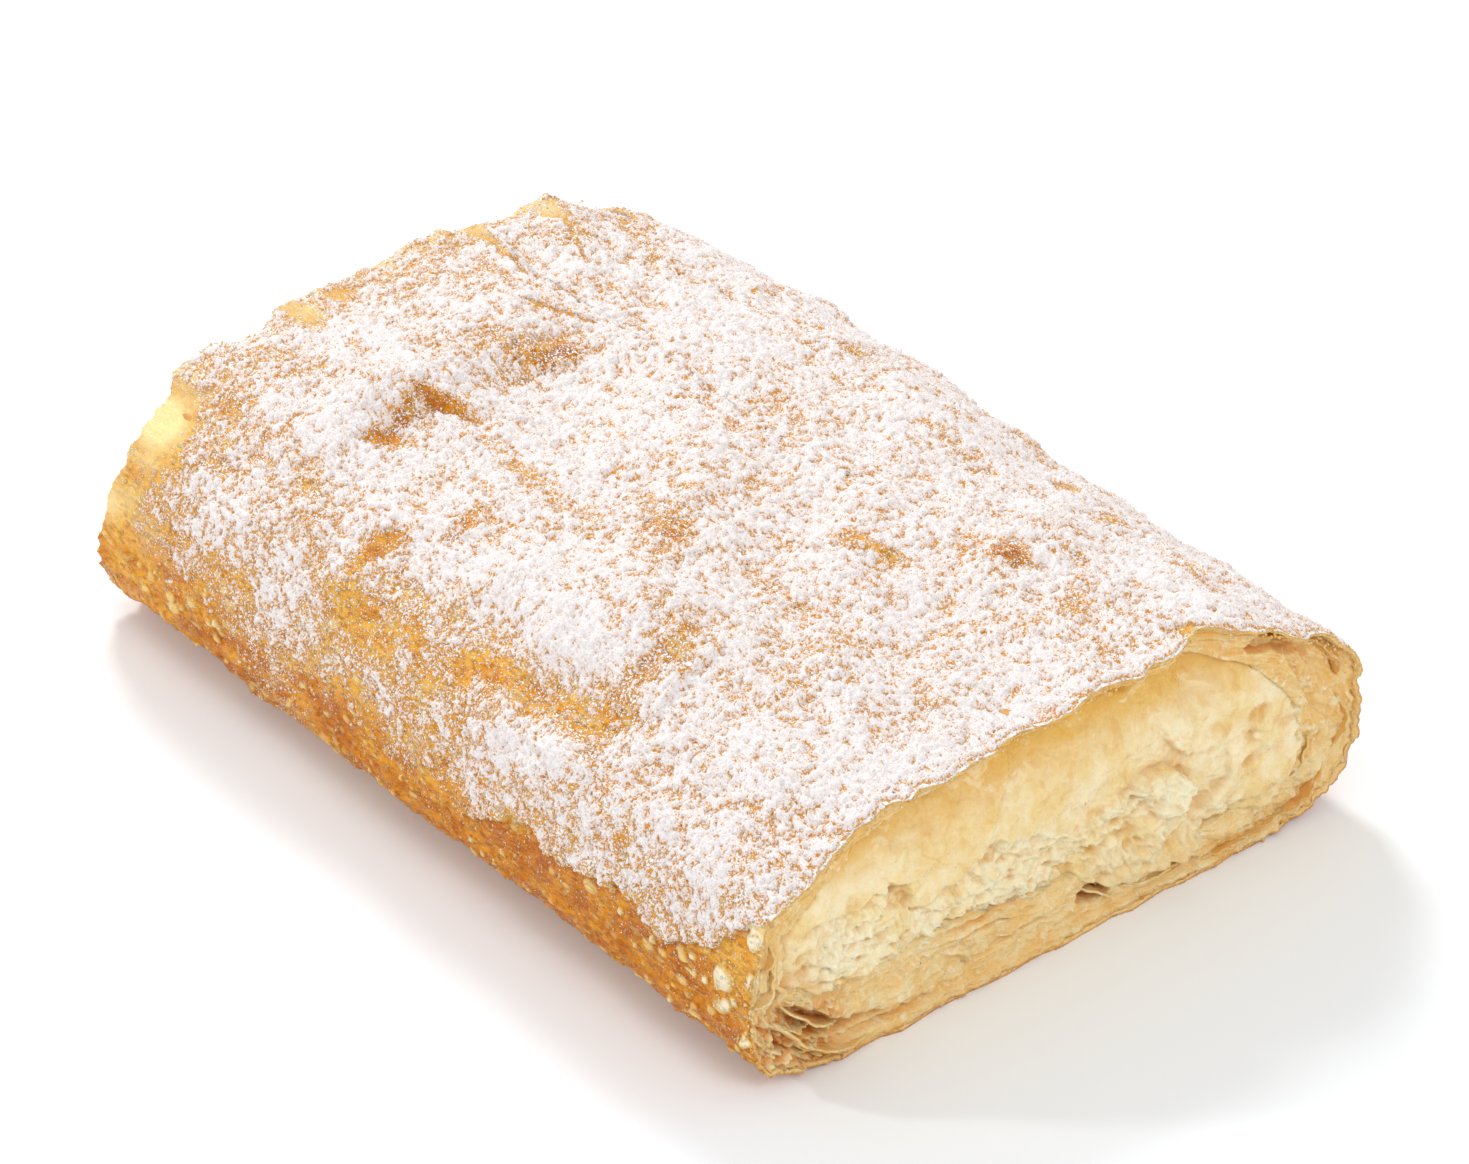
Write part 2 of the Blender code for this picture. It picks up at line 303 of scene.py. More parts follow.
def readSkin():  # how far the frame's skin stands off the oval, as a table over x and round
    tree = treeOf("strudel_wrap")
    count = 2 * int(skinGuide["lastX"] / skinGuide["stepX"]) + 1
    tableX = np.linspace(-skinGuide["lastX"], skinGuide["lastX"], count)
    tableRound = np.linspace(0, girth, skinGuide["stepsRound"] + 1)
    y, z, outY, outZ = onOval(tableRound)
    stand = np.zeros((count, len(tableRound)))
    clear = skinGuide["clear"]
    for j in range(len(tableRound)):
        out = Vector((0, outY[j], outZ[j]))
        for i in range(count):
            start = Vector((tableX[i], y[j], z[j])) + out * clear
            place, normal, face, away = tree.ray_cast(start, -out, 2 * clear)
            stand[i, j] = clear - away if place else np.nan
    for i in list(range(count // 2, count)) + list(range(count // 2, -1, -1)):
        inner = stand[i - 1 if i > count // 2 else i + 1]
        lost = np.isnan(stand[i]) | (np.abs(stand[i] - inner) > 0.9 * mm)
        stand[i] = np.where(lost & (i != count // 2), inner, stand[i])
    for turn in range(skinGuide["soften"]):
        stand[1:-1] = (stand[:-2] + 2 * stand[1:-1] + stand[2:]) / 4
        stand = (np.roll(stand[:, :-1], 1, 1) + 2 * stand[:, :-1] + np.roll(stand[:, :-1], -1, 1)) / 4
        stand = np.concatenate([stand, stand[:, :1]], axis=1)
    return tableX, stand


skinX, skinStand = readSkin()
print("skin read from the frame")


def standAt(x, along):
    rows, columns = skinStand.shape
    i = np.clip((x - skinX[0]) / (skinX[1] - skinX[0]), 0, rows - 1.001)
    return readTable(skinStand, i, np.minimum(np.mod(along, girth) / girth, 1 - 1e-12) * (columns - 1))


def onSkin(x, along, height=0.0):  # points over the skin, at a height above it
    y, z, outY, outZ = onOval(np.mod(along, girth))
    stand = standAt(x, along) + height
    return np.stack([x, y + outY * stand, np.maximum(0, z + outZ * stand)], axis=1)


def topShare(z):
    return smoothStep(rollShape["sidesBelow"], rollShape["topAbove"], z)


# ---- where the sheets end at the two cuts, as (y, reach) in millimetres

sheetEdge = {
    "front": [
        (-45, 60.2), (-40, 60.9), (-36, 61.2), (-33, 60.6), (-30, 59.9), (-24, 60.3), (-18, 60.9),
        (-9, 60.4), (0, 60.6), (8, 60.3), (14, 60.8), (18, 60.0), (20, 58.6), (22.5, 59.6), (25, 61.2),
        (28, 61.6), (31, 62.9), (34, 63.2), (38, 62.0), (45, 60.4),
    ],
    "back": [
        (-45, 58.4), (-41, 58.0), (-36, 58.3), (-34, 59.4), (-33, 60.4), (-27, 60.6), (-25.5, 59.4),
        (-24.5, 58.4), (-22, 58.8), (-18, 60.6), (-11, 60.2), (-4, 60.6), (8, 61.2), (9.6, 61.0),
        (10.2, 58.4), (13, 58.8), (18, 59.6), (22, 60.2), (23.6, 60.6), (25, 59.8), (32, 58.6),
        (45, 55.8),
    ],
    # the back cut slants over the near side: height and how far it is set back
    "backNear": [
        (3, -0.4), (8, -0.3), (11, 0.5), (15.3, 1.9), (18.3, 3.1), (24.5, 3.5), (26.1, 2.9), (28, 2.2),
    ],
    "baseSetback": 0.2 * mm,
    "ragged": [(0.5 * mm, 5 * mm), (0.6 * mm, 2.4 * mm), (0.3 * mm, 1.1 * mm), (0.22 * mm, 0.5 * mm)],
}


def cutReach(end, y, z):  # how far a cut stands past its plane, or behind it
    high = topShare(z)
    reach = (follow(y / mm, sheetEdge["front" if end > 0 else "back"]) * mm - rollShape["cutPlane"]) * high
    reach = reach - sheetEdge["baseSetback"] * (1 - high)
    if end < 0:
        reach = mix(reach, -follow(z / mm, sheetEdge["backNear"]) * mm, smoothStep(-35 * mm, -40 * mm, y))
    return reach


def sheetReach(end, along, salt=0, ragged=1.0):  # how far from the middle a sheet's edge is
    y, z = onOval(np.mod(along, girth))[:2]
    place = flatPoints(0.5 * mm * end + salt * mm, y, z)
    torn = lumpSum(place, *((*layer, 40 + salt + 3 * end) for layer in sheetEdge["ragged"]))
    return rollShape["cutPlane"] + cutReach(end, y, z) + torn * ragged


# ---- colours and materials

def linear(hexColor):
    parts = [int(hexColor[k:k + 2], 16) / 255 for k in (1, 3, 5)]
    return [*(c / 12.92 if c <= 0.04045 else ((c + 0.055) / 1.055) ** 2.4 for c in parts), 1.0]


class Look:  # a material whose colour is laid on in layers
    def __init__(self, name):
        self.material = bpy.data.materials.new(name)
        self.material.use_nodes = True
        self.tree = self.material.node_tree
        self.shader = self.tree.nodes["Principled BSDF"]
        self.place = self.placeOf((1, 1, 1))

    def plug(self, socket, value):  # value: another node's output, a hex colour or a constant
        if isinstance(value, bpy.types.NodeSocket):
            self.tree.links.new(value, socket)
        else:
            socket.default_value = linear(value) if isinstance(value, str) else value

    def add(self, kind, *values, **named):  # lower-case names are the node's settings, the others its inputs
        node = self.tree.nodes.new("ShaderNode" + kind)
        for name, value in named.items():
            if name[0].islower():
                setattr(node, name, value)
            else:
                self.plug(node.inputs[name], value)
        for socket, value in zip(node.inputs, values):
            self.plug(socket, value)
        return node

    def placeOf(self, stretch):
        place = self.add("TexCoord").outputs["Object"]
        return self.add("Mapping", Vector=place, Scale=stretch).outputs["Vector"]

    def noise(self, size, detail=3.0, roughness=0.55, warp=0.0, place=None):  # size in metres
        place = self.place if place is None else place
        node = self.add("TexNoise", Vector=place, Scale=1 / size, Detail=detail, Roughness=roughness,
                        Distortion=warp)
        return node.outputs["Fac"]

    def ramp(self, value, low, high, first=0.0, last=1.0):  # eased from first at low to last at high
        node = self.add("MapRange", value, low, high, first, last, interpolation_type="SMOOTHSTEP")
        return node.outputs["Result"]

    def noiseRamp(self, size, detail, roughness, low, high, first=0.0, last=1.0, place=None):
        return self.ramp(self.noise(size, detail, roughness, place=place), low, high, first, last)

    def compute(self, operation, *values):
        return self.add("Math", *values, operation=operation).outputs[0]

    def times(self, *values):
        return self.compute("MULTIPLY", *values)

    def plus(self, first, *others):  # others: (value, how much of it)
        for value, share in others:
            first = self.compute("ADD", first, self.times(value, share))
        return first

    def painted(self, name):
        return self.add("Attribute", attribute_name=name).outputs["Fac"]

    def blend(self, share, first, second):
        node = self.add("Mix", share, data_type="RGBA")
        self.plug(node.inputs[6], first)
        self.plug(node.inputs[7], second)
        return node.outputs[2]

    def layers(self, color, colors, *layers):  # lays colours over the first one: (how much, its name)
        for share, name in layers:
            color = self.blend(share, color, colors[name])
        return color

    def shade(self, values):
        for name, value in values.items():
            self.plug(self.shader.inputs[name], value)

    def finish(self, color, relief, depth, roughness, glow):  # glow: weight, scale, radius
        normal = self.add("Bump", Height=relief, Distance=depth, Strength=1.0).outputs["Normal"]
        self.shade({"Base Color": color, "Normal": normal, "Roughness": roughness})
        self.shade({"Subsurface Weight": glow[0], "Subsurface Scale": glow[1], "Subsurface Radius": glow[2]})
        return self.material


bakedDough = {
    "deep": "#C66C08", "golden": "#E89A1A", "pale": "#F7C556", "shade": "#8E4404", "blister": "#FDDF90",
    "burnt": "#7A3006", "dust": "#FFFCFA", "inside": "#FAE2A0", "puff": "#FFF3D6",
}


def bubblesOf(look, place, spacing, share, radius=0.42):  # round blisters: 1 at each top, 0 between them
    cells = look.add("TexVoronoi", Vector=place, Scale=1 / spacing, Randomness=0.9)
    drawn = look.add("SeparateColor", Color=cells.outputs["Color"])
    ratio = look.compute("DIVIDE", cells.outputs["Distance"], radius)
    left = look.compute("SUBTRACT", 1.0, look.times(ratio, ratio))
    dome = look.compute("POWER", look.compute("MAXIMUM", left, 0.0), 0.7)
    chosen = look.ramp(drawn.outputs["Red"], 1 - share, 1.05 - share)
    return look.times(look.times(dome, look.ramp(drawn.outputs["Green"], 0.0, 1.0, 0.4, 1.0)), chosen)


def makeBakedDough():
    # butter-brushed strudel dough: brown like parchment and darker towards the bottom, with painted shade on
    # the slopes of bumps on top, glassy, with pale blisters and specks of sugar
    look = Look("bakedStrudelDough")
    place, long = look.place, look.placeOf((0.5, 1, 1))
    mottle = look.noiseRamp(2.4 * mm, 4, 0.65, 0.34, 0.66, place=long)
    coarse, small = bubblesOf(look, long, 1.15 * mm, 0.5), bubblesOf(look, place, 0.62 * mm, 0.35)
    bubbles = look.compute("MAXIMUM", coarse, small)
    bubbles = look.times(bubbles, look.noiseRamp(5 * mm, 2, 0.55, 0.36, 0.56, 0.15, 1.0))
    bubbles = look.times(bubbles, look.ramp(look.painted("inside"), 0.1, 0.5, 1.0, 0.1))
    blister = look.painted("blister")
    specks = look.ramp(look.plus(look.noise(0.27 * mm, 2, 0.65), (look.painted("dust"), 0.36)), 0.67, 0.73)
    patches = look.times(look.noiseRamp(13 * mm, 2, 0.55, 0.36, 0.64), 0.5)
    golden = look.blend(mottle, bakedDough["golden"], bakedDough["pale"])
    golden = look.blend(patches, golden, bakedDough["golden"])
    deep = look.blend(mottle, bakedDough["deep"], bakedDough["golden"])
    # golden to deep by the painted amount: browning, darker towards the bottom, and painted shade on the
    # slopes of bumps
    color = look.layers(
        look.blend(look.painted("browned"), golden, deep), bakedDough,
        (look.times(look.noiseRamp(0.5 * mm, 3, 0.6, 0.42, 0.68, place=long), 0.6), "shade"),
        (look.times(bubbles, 0.65), "blister"),
        (look.painted("burnt"), "burnt"),
        (look.ramp(blister, 0.0, 0.7, 0.0, 0.75), "blister"),
        (look.ramp(blister, 0.7, 0.95, 0.0, 0.85), "puff"),
        (look.painted("inside"), "inside"),
        (specks, "dust"),
    )
    look.shade({"IOR": 1.5, "Specular IOR Level": 0.14})
    popped = look.times(blister, look.noise(0.7 * mm, 3, 0.6))
    grain = look.noise(0.9 * mm, 4, 0.65, place=long)
    relief = look.plus(grain, (look.noise(0.34 * mm, 2), 0.6), (specks, 0.5), (bubbles, 1.4), (popped, 1.0))
    gloss = look.plus(look.noiseRamp(1.4 * mm, 3, 0.55, 0.3, 0.7, 0.12, 0.32), (specks, 0.4))
    return look.finish(color, relief, 0.32 * mm, gloss, (0.06, 0.6 * mm, (1.0, 0.5, 0.2)))


icingSugar = {"light": "#F8F3F2", "shade": "#E2D8D6", "gap": "#DE9C3C"}


def makeIcingSugar():
    # finely milled sugar: dead matt and bright, its crevices let a little of the crust's brown through
    look = Look("icingSugarPowder")
    grain = look.noise(0.22 * mm, 3, 0.65)
    # grain noise mixes a lit and a shaded colour of the sugar: painted light and painted shade
    color = look.blend(look.ramp(grain, 0.35, 0.55), icingSugar["shade"], icingSugar["light"])
    thin = look.compute("SUBTRACT", 1.0, look.painted("thick"))
    gaps = look.ramp(look.plus(look.noise(0.28 * mm, 3, 0.7), (thin, 0.24)), 0.62, 0.72)
    look.shade({"Specular IOR Level": 0.15})
    color = look.layers(color, icingSugar, (gaps, "gap"))
    return look.finish(color, grain, 0.16 * mm, 0.95, (0.08, 0.2 * mm, (1.0, 0.95, 0.9)))


# the yellow and golden colours are partly the curd's own and partly painted shade under the top sheet, in
# hollows and on a lobe's shaded side; the colour for hollows is painted shade
curdColors = {
    "cream": "#F3DCA2", "white": "#FAEFCE", "warmAndShade": "#E2B450", "toastedAndShade": "#DA9C30", "creviceShade": "#DCA040",
    "speck": "#B98438",
}


def makeCurd():
    # baked curd cheese with egg: moist, soft and milky, yellower near the top sheet and in hollows, partly
    # its own colour and partly painted shade
    look = Look("bakedCurdCheese")
    torn, cloud = look.painted("torn"), look.noise(3.2 * mm, 4, 0.6, 0.8)
    grain = look.noise(0.36 * mm, 3, 0.65)
    soft = look.noiseRamp(6 * mm, 3, 0.55, 0.35, 0.65)
    color = look.layers(
        look.blend(soft, curdColors["cream"], curdColors["white"]), curdColors,
        (look.times(torn, 0.6), "white"),
        (look.times(look.noiseRamp(1.1 * mm, 3, 0.6, 0.4, 0.7), 0.2), "warmAndShade"),
        (look.ramp(grain, 0.5, 0.7, 0.0, 0.12), "warmAndShade"),
        (look.painted("warmAndShade"), "warmAndShade"),
        (look.ramp(cloud, 0.52, 0.7, 0.0, 0.4), "toastedAndShade"),
        (look.ramp(cloud, 0.46, 0.34, 0.0, 0.45), "white"),
        (look.painted("toastedAndShade"), "toastedAndShade"),
        (look.painted("creviceShade"), "creviceShade"),
        (look.times(look.noiseRamp(0.9 * mm, 1, 0.5, 0.80, 0.83), 0.7), "speck"),
    )
    look.shade({"IOR": 1.4})
    relief = look.plus(look.times(look.times(torn, look.noise(0.9 * mm, 3, 0.6, 0.6)), 1.6), (grain, 0.5))
    wet = look.noiseRamp(0.5 * mm, 3, 0.55, 0.35, 0.65, 0.2, 0.5)
    return look.finish(color, relief, 0.2 * mm, wet, (0.5, 0.9 * mm, (1.0, 0.8, 0.6)))


leafColors = {
    "cream": "#F6DFA8", "amber": "#EFB85A", "brown": "#D08022", "gap": "#E48E26", "milky": "#FBF0D2",
}


def makeLeafDough():
    # inner sheets of strudel dough: steamed rather than browned, thin enough to glow
    look = Look("steamedDoughLeaf")
    mottle = look.times(look.noiseRamp(2.2 * mm, 4, 0.6, 0.35, 0.65), 0.45)
    color = look.layers(
        look.blend(mottle, leafColors["cream"], leafColors["amber"]), leafColors,
        (look.painted("amber"), "amber"),
        (look.painted("browned"), "brown"),
        (look.ramp(look.noise(1.3 * mm, 4, 0.65, 0.6), 0.54, 0.66, 0.0, 0.6), "milky"),
        # the gap colour is painted shade between the leaves and deeper into the roll
        (look.painted("gap"), "gap"),
    )
    look.shade({"IOR": 1.45})
    relief = look.plus(look.noise(0.8 * mm, 3, 0.6), (look.noise(0.32 * mm, 3, 0.65), 1.0))
    wet = look.noiseRamp(0.6 * mm, 3, 0.55, 0.35, 0.65, 0.25, 0.5)
    return look.finish(color, relief, 0.22 * mm, wet, (0.35, 0.6 * mm, (1.0, 0.75, 0.5)))


bakedDoughFinish = makeBakedDough()
icingSugarFinish = makeIcingSugar()
curdFinish = makeCurd()
leafFinish = makeLeafDough()


# ---- where the sugar lies

sugarCover = {
    "top": 0.79,
    # over the near shoulder, cover by height: (height in mm, cover) behind and in front of tornFrom
    "nearBehind": [
        (2, 0.0), (8, 0.1), (12, 0.22), (16, 0.36), (20, 0.46), (24, 0.55), (28, 0.64), (31, 0.86),
    ],
    "nearFront": [
        (2, 0.0), (9, 0.1), (12, 0.3), (15, 0.55), (19, 0.62), (25, 0.68), (29, 0.76), (31.5, 0.86),
    ],
    "far": [(4, 0.0), (14, 0.2), (20, 0.5), (26, 0.74), (31.5, 0.86)],
    "tornFrom": 8 * mm,
    "backThin": 0.2,  # less cover at the back cut
    # bare slits along torn sheets: (x, y) line, half-breadth at its start and at its end, strength
    "slits": [
        ([(-46, 8.9), (-50, 9.2), (-54, 9.7), (-58, 10.2), (-62, 10.6)], 0.22, 0.75, 1.5),
        ([(-39.8, 4.3), (-36, 5.9), (-32, 7.9)], 0.4, 0.25, 1.6),
        ([(-44.6, 16.4), (-50.7, 18.9), (-54.7, 20.3), (-58, 21.6)], 0.2, 0.4, 0.8),
    ],
    # bare and thin places, in the words of blots
    "bare": [
        (-29, -16.2, 4.2, 1.0, 22, 0.9), (-30.4, -24.4, 2.6, 1.3, 30, 0.9),
        (-31.4, -20.5, 1.6, 3.0, 0, 0.4), (-30, 1, 5.5, 2.6, 75, 0.42), (-34, -4, 5, 4, 20, 0.24),
        (-33, -9, 4, 3, 20, 0.2), (-10.5, -27, 2.6, 1.7, 70, 0.6), (-16, -35.5, 3.2, 1.6, 68, 0.75),
        (9.5, -15, 6.5, 3.2, -52, 0.36), (4, -12, 5, 4, 0, 0.16), (24.5, -27, 3.0, 6.0, 12, 0.42),
        (24, -34, 6, 3.2, 0, 0.34), (17, -37.5, 12, 2.2, -1, 0.32), (6, -38.5, 5, 2.0, 5, 0.36),
        (24.5, 3.6, 4.6, 1.0, 6, 0.6), (21, 1.5, 2, 2.0, 50, 0.4), (35.5, 13.6, 3, 2.0, 0, 0.55),
        (31, 10, 5, 4, 20, 0.2), (52, 29, 3.0, 1.6, -20, 0.6), (-14, -16.8, 7, 1.5, -6, 0.42),
        (-3, -17.5, 4, 1.2, 0, 0.3), (9, 26.5, 3.2, 1.4, 0, 0.4), (16, 25, 5, 2.0, 0, 0.3),
        (22.5, 33.5, 2.2, 1.6, 0, 0.65), (58.5, 20, 2.0, 1.6, 0, 0.7), (36, -13, 4, 2.2, 60, 0.22),
        (26, -12, 5, 2.4, 30, 0.2), (37, -20, 6, 4, 0, 0.12), (-56.5, -16.5, 4.0, 1.5, -4, 0.6),
        (-58, -11, 2.5, 1.5, 0, 0.4), (-45, -8, 2.6, 1.6, 70, 0.34), (-45, -23, 8, 3.0, 10, 0.26),
        (-30, -34, 4, 1.6, 30, 0.3), (-44, -33, 9, 4, 0, 0.2), (-45, 27, 10, 2.6, -20, 0.3),
        (-52, 20, 5, 1.0, 0, 0.36), (-55.6, 30.3, 1.8, 1.1, 20, 1.4), (-12, 32, 2.5, 1.6, 0, 0.4),
        (1, 40, 3, 2, 0, 0.4), (33, 31, 2, 1.3, 0, 0.4), (47, 13, 4, 2.0, 0, 0.25),
        (46, 30, 6, 1.4, -30, 0.3), (-56, -37.6, 4.4, 3.2, -20, 1.2), (-57, -42, 6, 3, 0, 0.5),
        (-5, 12, 8, 5, 0, 0.04), (7, 1, 6, 4, 0, 0.06), (-58, -2, 3, 12, 0, 0.2),
        (-25, 16, 5, 1.4, 25, 0.2), (-6, -41.5, 14, 1.8, 0, 0.3), (-16, -42, 6, 2, 0, 0.2),
        (-46, 5, 5, 4, 0, 0.12),
    ],
    "heaped": [  # thicker places
        (-20, -4, 9, 8, 0, 0.14), (22, -42.2, 7.5, 1.1, 5, 0.45), (50, 24, 9, 4, 0, 0.2),
        (40, -41, 9, 1.6, 0, 0.12), (-22, 20, 14, 6, 0, 0.1), (-46, -14, 5, 6, 0, 0.16),
        (-25, -43, 7, 2.5, 0, 0.22), (52, -24, 7, 8, 0, 0.12), (-36, -24, 4, 8, 10, 0.12),
        (12, 8, 7, 4, 0, 0.1), (-38, -42, 8, 2.5, 0, 0.12), (-27, -11.5, 6, 1.6, 20, 0.2),
        (10, -31, 8, 3, 0, 0.12),
    ],
}


def blots(x, y, entries):  # soft spots: centre x and y, half-length, half-breadth, heading, strength
    total = np.zeros(len(x))
    for centreX, centreY, length, breadth, heading, strength in entries:
        turn = math.radians(heading)
        dx, dy = x / mm - centreX, y / mm - centreY
        ahead = (dx * math.cos(turn) + dy * math.sin(turn)) / length
        aside = (dy * math.cos(turn) - dx * math.sin(turn)) / breadth
        total += strength * np.exp(-(ahead ** 2 + aside ** 2) ** 1.5)
    return total


tornSheet = {  # the outer sheet ends in a torn edge along the near side: x and height, in mm
    "edge": [
        (-6, 8.6), (0, 9.4), (6, 9.8), (11, 11.2), (16, 13.4), (21, 15.9), (23, 15.8), (26, 13.7),
        (33, 15.8), (41, 17.0), (45, 14.2), (50, 16.2), (54, 18.0), (57, 21.5), (62, 24.8),
    ],
    "starts": 2 * mm,
    "lip": 0.45 * mm,
    "below": 0.3 * mm,
}


def tearHeight(x, points):  # how high a point is over the torn edge
    ragged = lumpSum(points, (0.9 * mm, 3.5 * mm, 91), (0.7 * mm, 1.3 * mm, 92))
    return points[:, 2] - follow(x / mm, tornSheet["edge"]) * mm + ragged


def aboveTear(x, points):  # 1 on the outer sheet, 0 below its torn edge
    return smoothStep(-0.3 * mm, 0.3 * mm, tearHeight(x, points))


def coverAt(x, points):  # how much of the crust the sugar hides, from 0 or less to 1
    y, z = points[:, 1], points[:, 2]
    front = smoothStep(-6 * mm, 8 * mm, x - sugarCover["tornFrom"])
    behind, ahead, far = (follow(z / mm, sugarCover[name]) for name in ("nearBehind", "nearFront", "far"))
    shoulder = np.where(y < 0, mix(behind, ahead, front), far)
    cover = mix(sugarCover["top"], shoulder, smoothStep(20 * mm, 34 * mm, np.abs(y)))
    cover = cover - sugarCover["backThin"] * smoothStep(-42 * mm, -58 * mm, x)
    cover = cover - 0.8 * blots(x, y, sugarCover["bare"]) + blots(x, y, sugarCover["heaped"])
    for line, first, last, strength in sugarCover["slits"]:
        away, side, along = lineAway(x / mm, y / mm, line)
        cover = cover - strength * np.exp(-(away / mix(first, last, along)) ** 4)
    cover = cover + lumpSum(points, (0.12, 7 * mm, 61), (0.19, 2.6 * mm, 62))
    below = (1 - aboveTear(x, points)) * smoothStep(-4 * mm, 6 * mm, x - tornSheet["starts"])
    return cover - np.clip(cover - 0.16, 0, 1) * below * (y < 0)


# ---- the baked wrap: skin, torn sheet, blisters and the sheets' edges

wrapSettings = {
    "rows": 400,  # along the roll
    "nearStep": 0.25 * mm,
    "farStep": 0.42 * mm,
    "topStep": 0.56 * mm,
    "baseStep": 2.6 * mm,
    # blisters: spacing, share that puffed up, height, salt
    "blisters": [
        (2.6 * mm, 0.3, 0.6 * mm, 21), (1.7 * mm, 0.4, 0.45 * mm, 22), (1.1 * mm, 0.3, 0.26 * mm, 23),
    ],
    # round pearls near the front corner: spacing, share, radius over spacing, height
    "pearls": (1.9 * mm, 0.55, 0.25, 0.42 * mm),
    # folds that run along the lower side: height over the table, how proud
    "folds": [(4.2 * mm, 0.5 * mm), (7.4 * mm, 0.28 * mm), (1.8 * mm, 0.35 * mm)],
    "swell": [  # bulges of the top
        (0.9 * mm, 13 * mm, 36), (0.7 * mm, 6.5 * mm, 37), (0.22 * mm, 2.6 * mm, 38),
    ],
    # sunken places, places darkened by browning and painted shade on the slopes of bumps, bare and burnt
    # places, in the words of blots
    "trims": [(-60, 27.5, 7, 5.0, 0, -1.1), (-60, 19.5, 5, 4.0, 0, -0.7), (-61, 9.0, 4, 1.3, 0, -0.8)],
    "steep": [
        (-30, -20, 8, 4, 75, 0.9), (25, -30, 5, 7, 0, 0.5), (-31, -1, 7, 5, 75, 0.7),
        (35, 13, 5, 4, 0, 0.9), (-10.5, -27, 3, 3, 0, 0.6), (-16, -35, 3, 3, 0, 0.5),
        (52, 29, 4, 3, 0, 1.0), (9, -15, 5, 4, -50, 0.4),
    ],
    "bareFlap": [(-56.2, -37.6, 4.6, 3.2, -20, 1.3)],
    "burnt": [
        (-55.4, 30.2, 1.7, 1.0, 20, 1.3), (52, 29, 1.6, 1.2, 0, 0.5), (35.5, 13.5, 1.6, 1.0, 0, 0.5),
        (-30, 1, 3, 1, 75, 0.4),
    ],
    "justInside": 57 * mm,  # where the wall's thickness is taken
    "wrinkle": 0.2 * mm,
    "fine": 0.07 * mm,
    # sharp ledges of the top sheet: polyline (x, y) in mm, height, falloff towards its left
    "ledges": [
        ([(-24.5, -12.5), (-27, -14.6), (-31, -16.5), (-32.5, -20), (-32.5, -25)], 1.3, 4.0),
        ([(-28, 4.5), (-28.5, 0), (-31, -4)], 0.8, 4.0),
        ([(13.5, -10), (12.5, -16), (14.5, -20)], 0.6, 4.0),
        ([(29, 3.4), (24, 2.8), (20, 1.0), (18, -3)], 0.8, 3.0),
        ([(28, -20), (28.5, -28), (30, -34)], 0.8, 4.0),
        ([(-44, 8.6), (-50, 9.2), (-54, 9.6), (-58, 10.1), (-70, 11.4)], 0.75, 2.6),
        ([(-31, 8.2), (-36, 5.9), (-41, 3.8)], 0.45, 2.0),
        ([(-43, 16), (-50.7, 18.9), (-54.7, 20.3), (-68, 25)], 0.35, 1.6),
        ([(-51.4, -39.4), (-51.1, -36.6), (-54.5, -33.9), (-57, -33.1), (-64, -33)], 0.5, 2.5),
        ([(38, 15), (36, 12), (33, 11)], 0.6, 3.0), ([(-8.5, -25), (-9.5, -29), (-13, -29.5)], 0.5, 2.0),
        ([(31, -40.4), (24, -41.4), (18, -41.6), (14.5, -42.2)], 0.7, 2.4),
    ],
}


def roundPlaces():  # distances round the roll, closer together on the sides
    along = np.linspace(0, girth, 6001)
    y, z = onOval(along)[:2]
    side = np.where(y < 0, wrapSettings["nearStep"], wrapSettings["farStep"])
    step = mix(side, wrapSettings["topStep"], smoothStep(24 * mm, 27 * mm, z))
    step = np.where((z < 0.2 * mm) & (np.abs(y) < 33 * mm), wrapSettings["baseStep"], step)
    filled = np.concatenate([[0], np.cumsum(np.diff(along) / step[1:])])
    return np.interp(np.linspace(0, filled[-1], int(filled[-1])), filled, along)


def ledgeHeight(x, y):
    ledges = wrapSettings["ledges"]
    return sum(height * mm * ledge(x / mm, y / mm, line, falloff, 0.45) for line, height, falloff in ledges)


def blisterAt(points):  # height and paleness of the crust's blisters
    stretched = points * np.array([0.7, 1, 1])
    height, pale = np.zeros(len(points)), np.zeros(len(points))
    for spacing, share, tall, salt in wrapSettings["blisters"]:
        away, number = spots(stretched, spacing, salt)
        dome = domeOf(away / (0.16 + 0.26 * (number * 7 % 1))) * (number < share)
        height = np.maximum(height, dome * tall * (0.5 + 0.5 * (number * 13 % 1)))
        pale = np.maximum(pale, np.clip(dome * 1.2, 0, 1) * (0.2 + 0.5 * (number * 29 % 1)))
    return height, pale


cornerPuffs = [  # x, y, height, radius and lift in mm: pale puffed places near the front corner
    (55.8, -44.8, 15.0, 1.5, 0.8), (59.6, -42.0, 21.0, 2.2, 0.7), (58.8, -43.4, 23.4, 1.6, 0.5),
    (56.2, -44.9, 11.6, 0.9, 0.3), (50.6, -45.2, 14.8, 0.6, 0.4), (50.8, -45.2, 12.6, 0.55, 0.35),
    (52.6, -45.2, 12.8, 0.6, 0.3), (57.6, -44.6, 12.8, 0.7, 0.3), (46.8, -45.2, 16.2, 0.8, 0.35),
    (48.6, -45.2, 17.0, 0.7, 0.3), (60.4, -44.0, 17.0, 1.1, 0.5), (59.8, -44.4, 9.0, 1.0, 0.4),
    (60.0, -42.4, 26.0, 1.5, 0.5),
]


def pearlsAt(points):  # height of the pearls and how pale they are
    spacing, share, radius, tall = wrapSettings["pearls"]
    away, number = spots(points, spacing, 25)
    dome = domeOf(away / (radius * (0.6 + 0.7 * (number * 17 % 1)))) * (number < share)
    x, y, z = points.T
    where = smoothStep(14 * mm, 34 * mm, x) * smoothStep(7 * mm, 10 * mm, z) * smoothStep(20 * mm, 17 * mm, z)
    where = np.clip(where + 0.35 * smoothStep(18 * mm, 14 * mm, z), 0, 1) * (y < 0)
    kept = number / share < where
    return dome * tall * kept, np.clip(dome * 1.5, 0, 1) * kept * (0.55 + 0.4 * (number * 31 % 1))


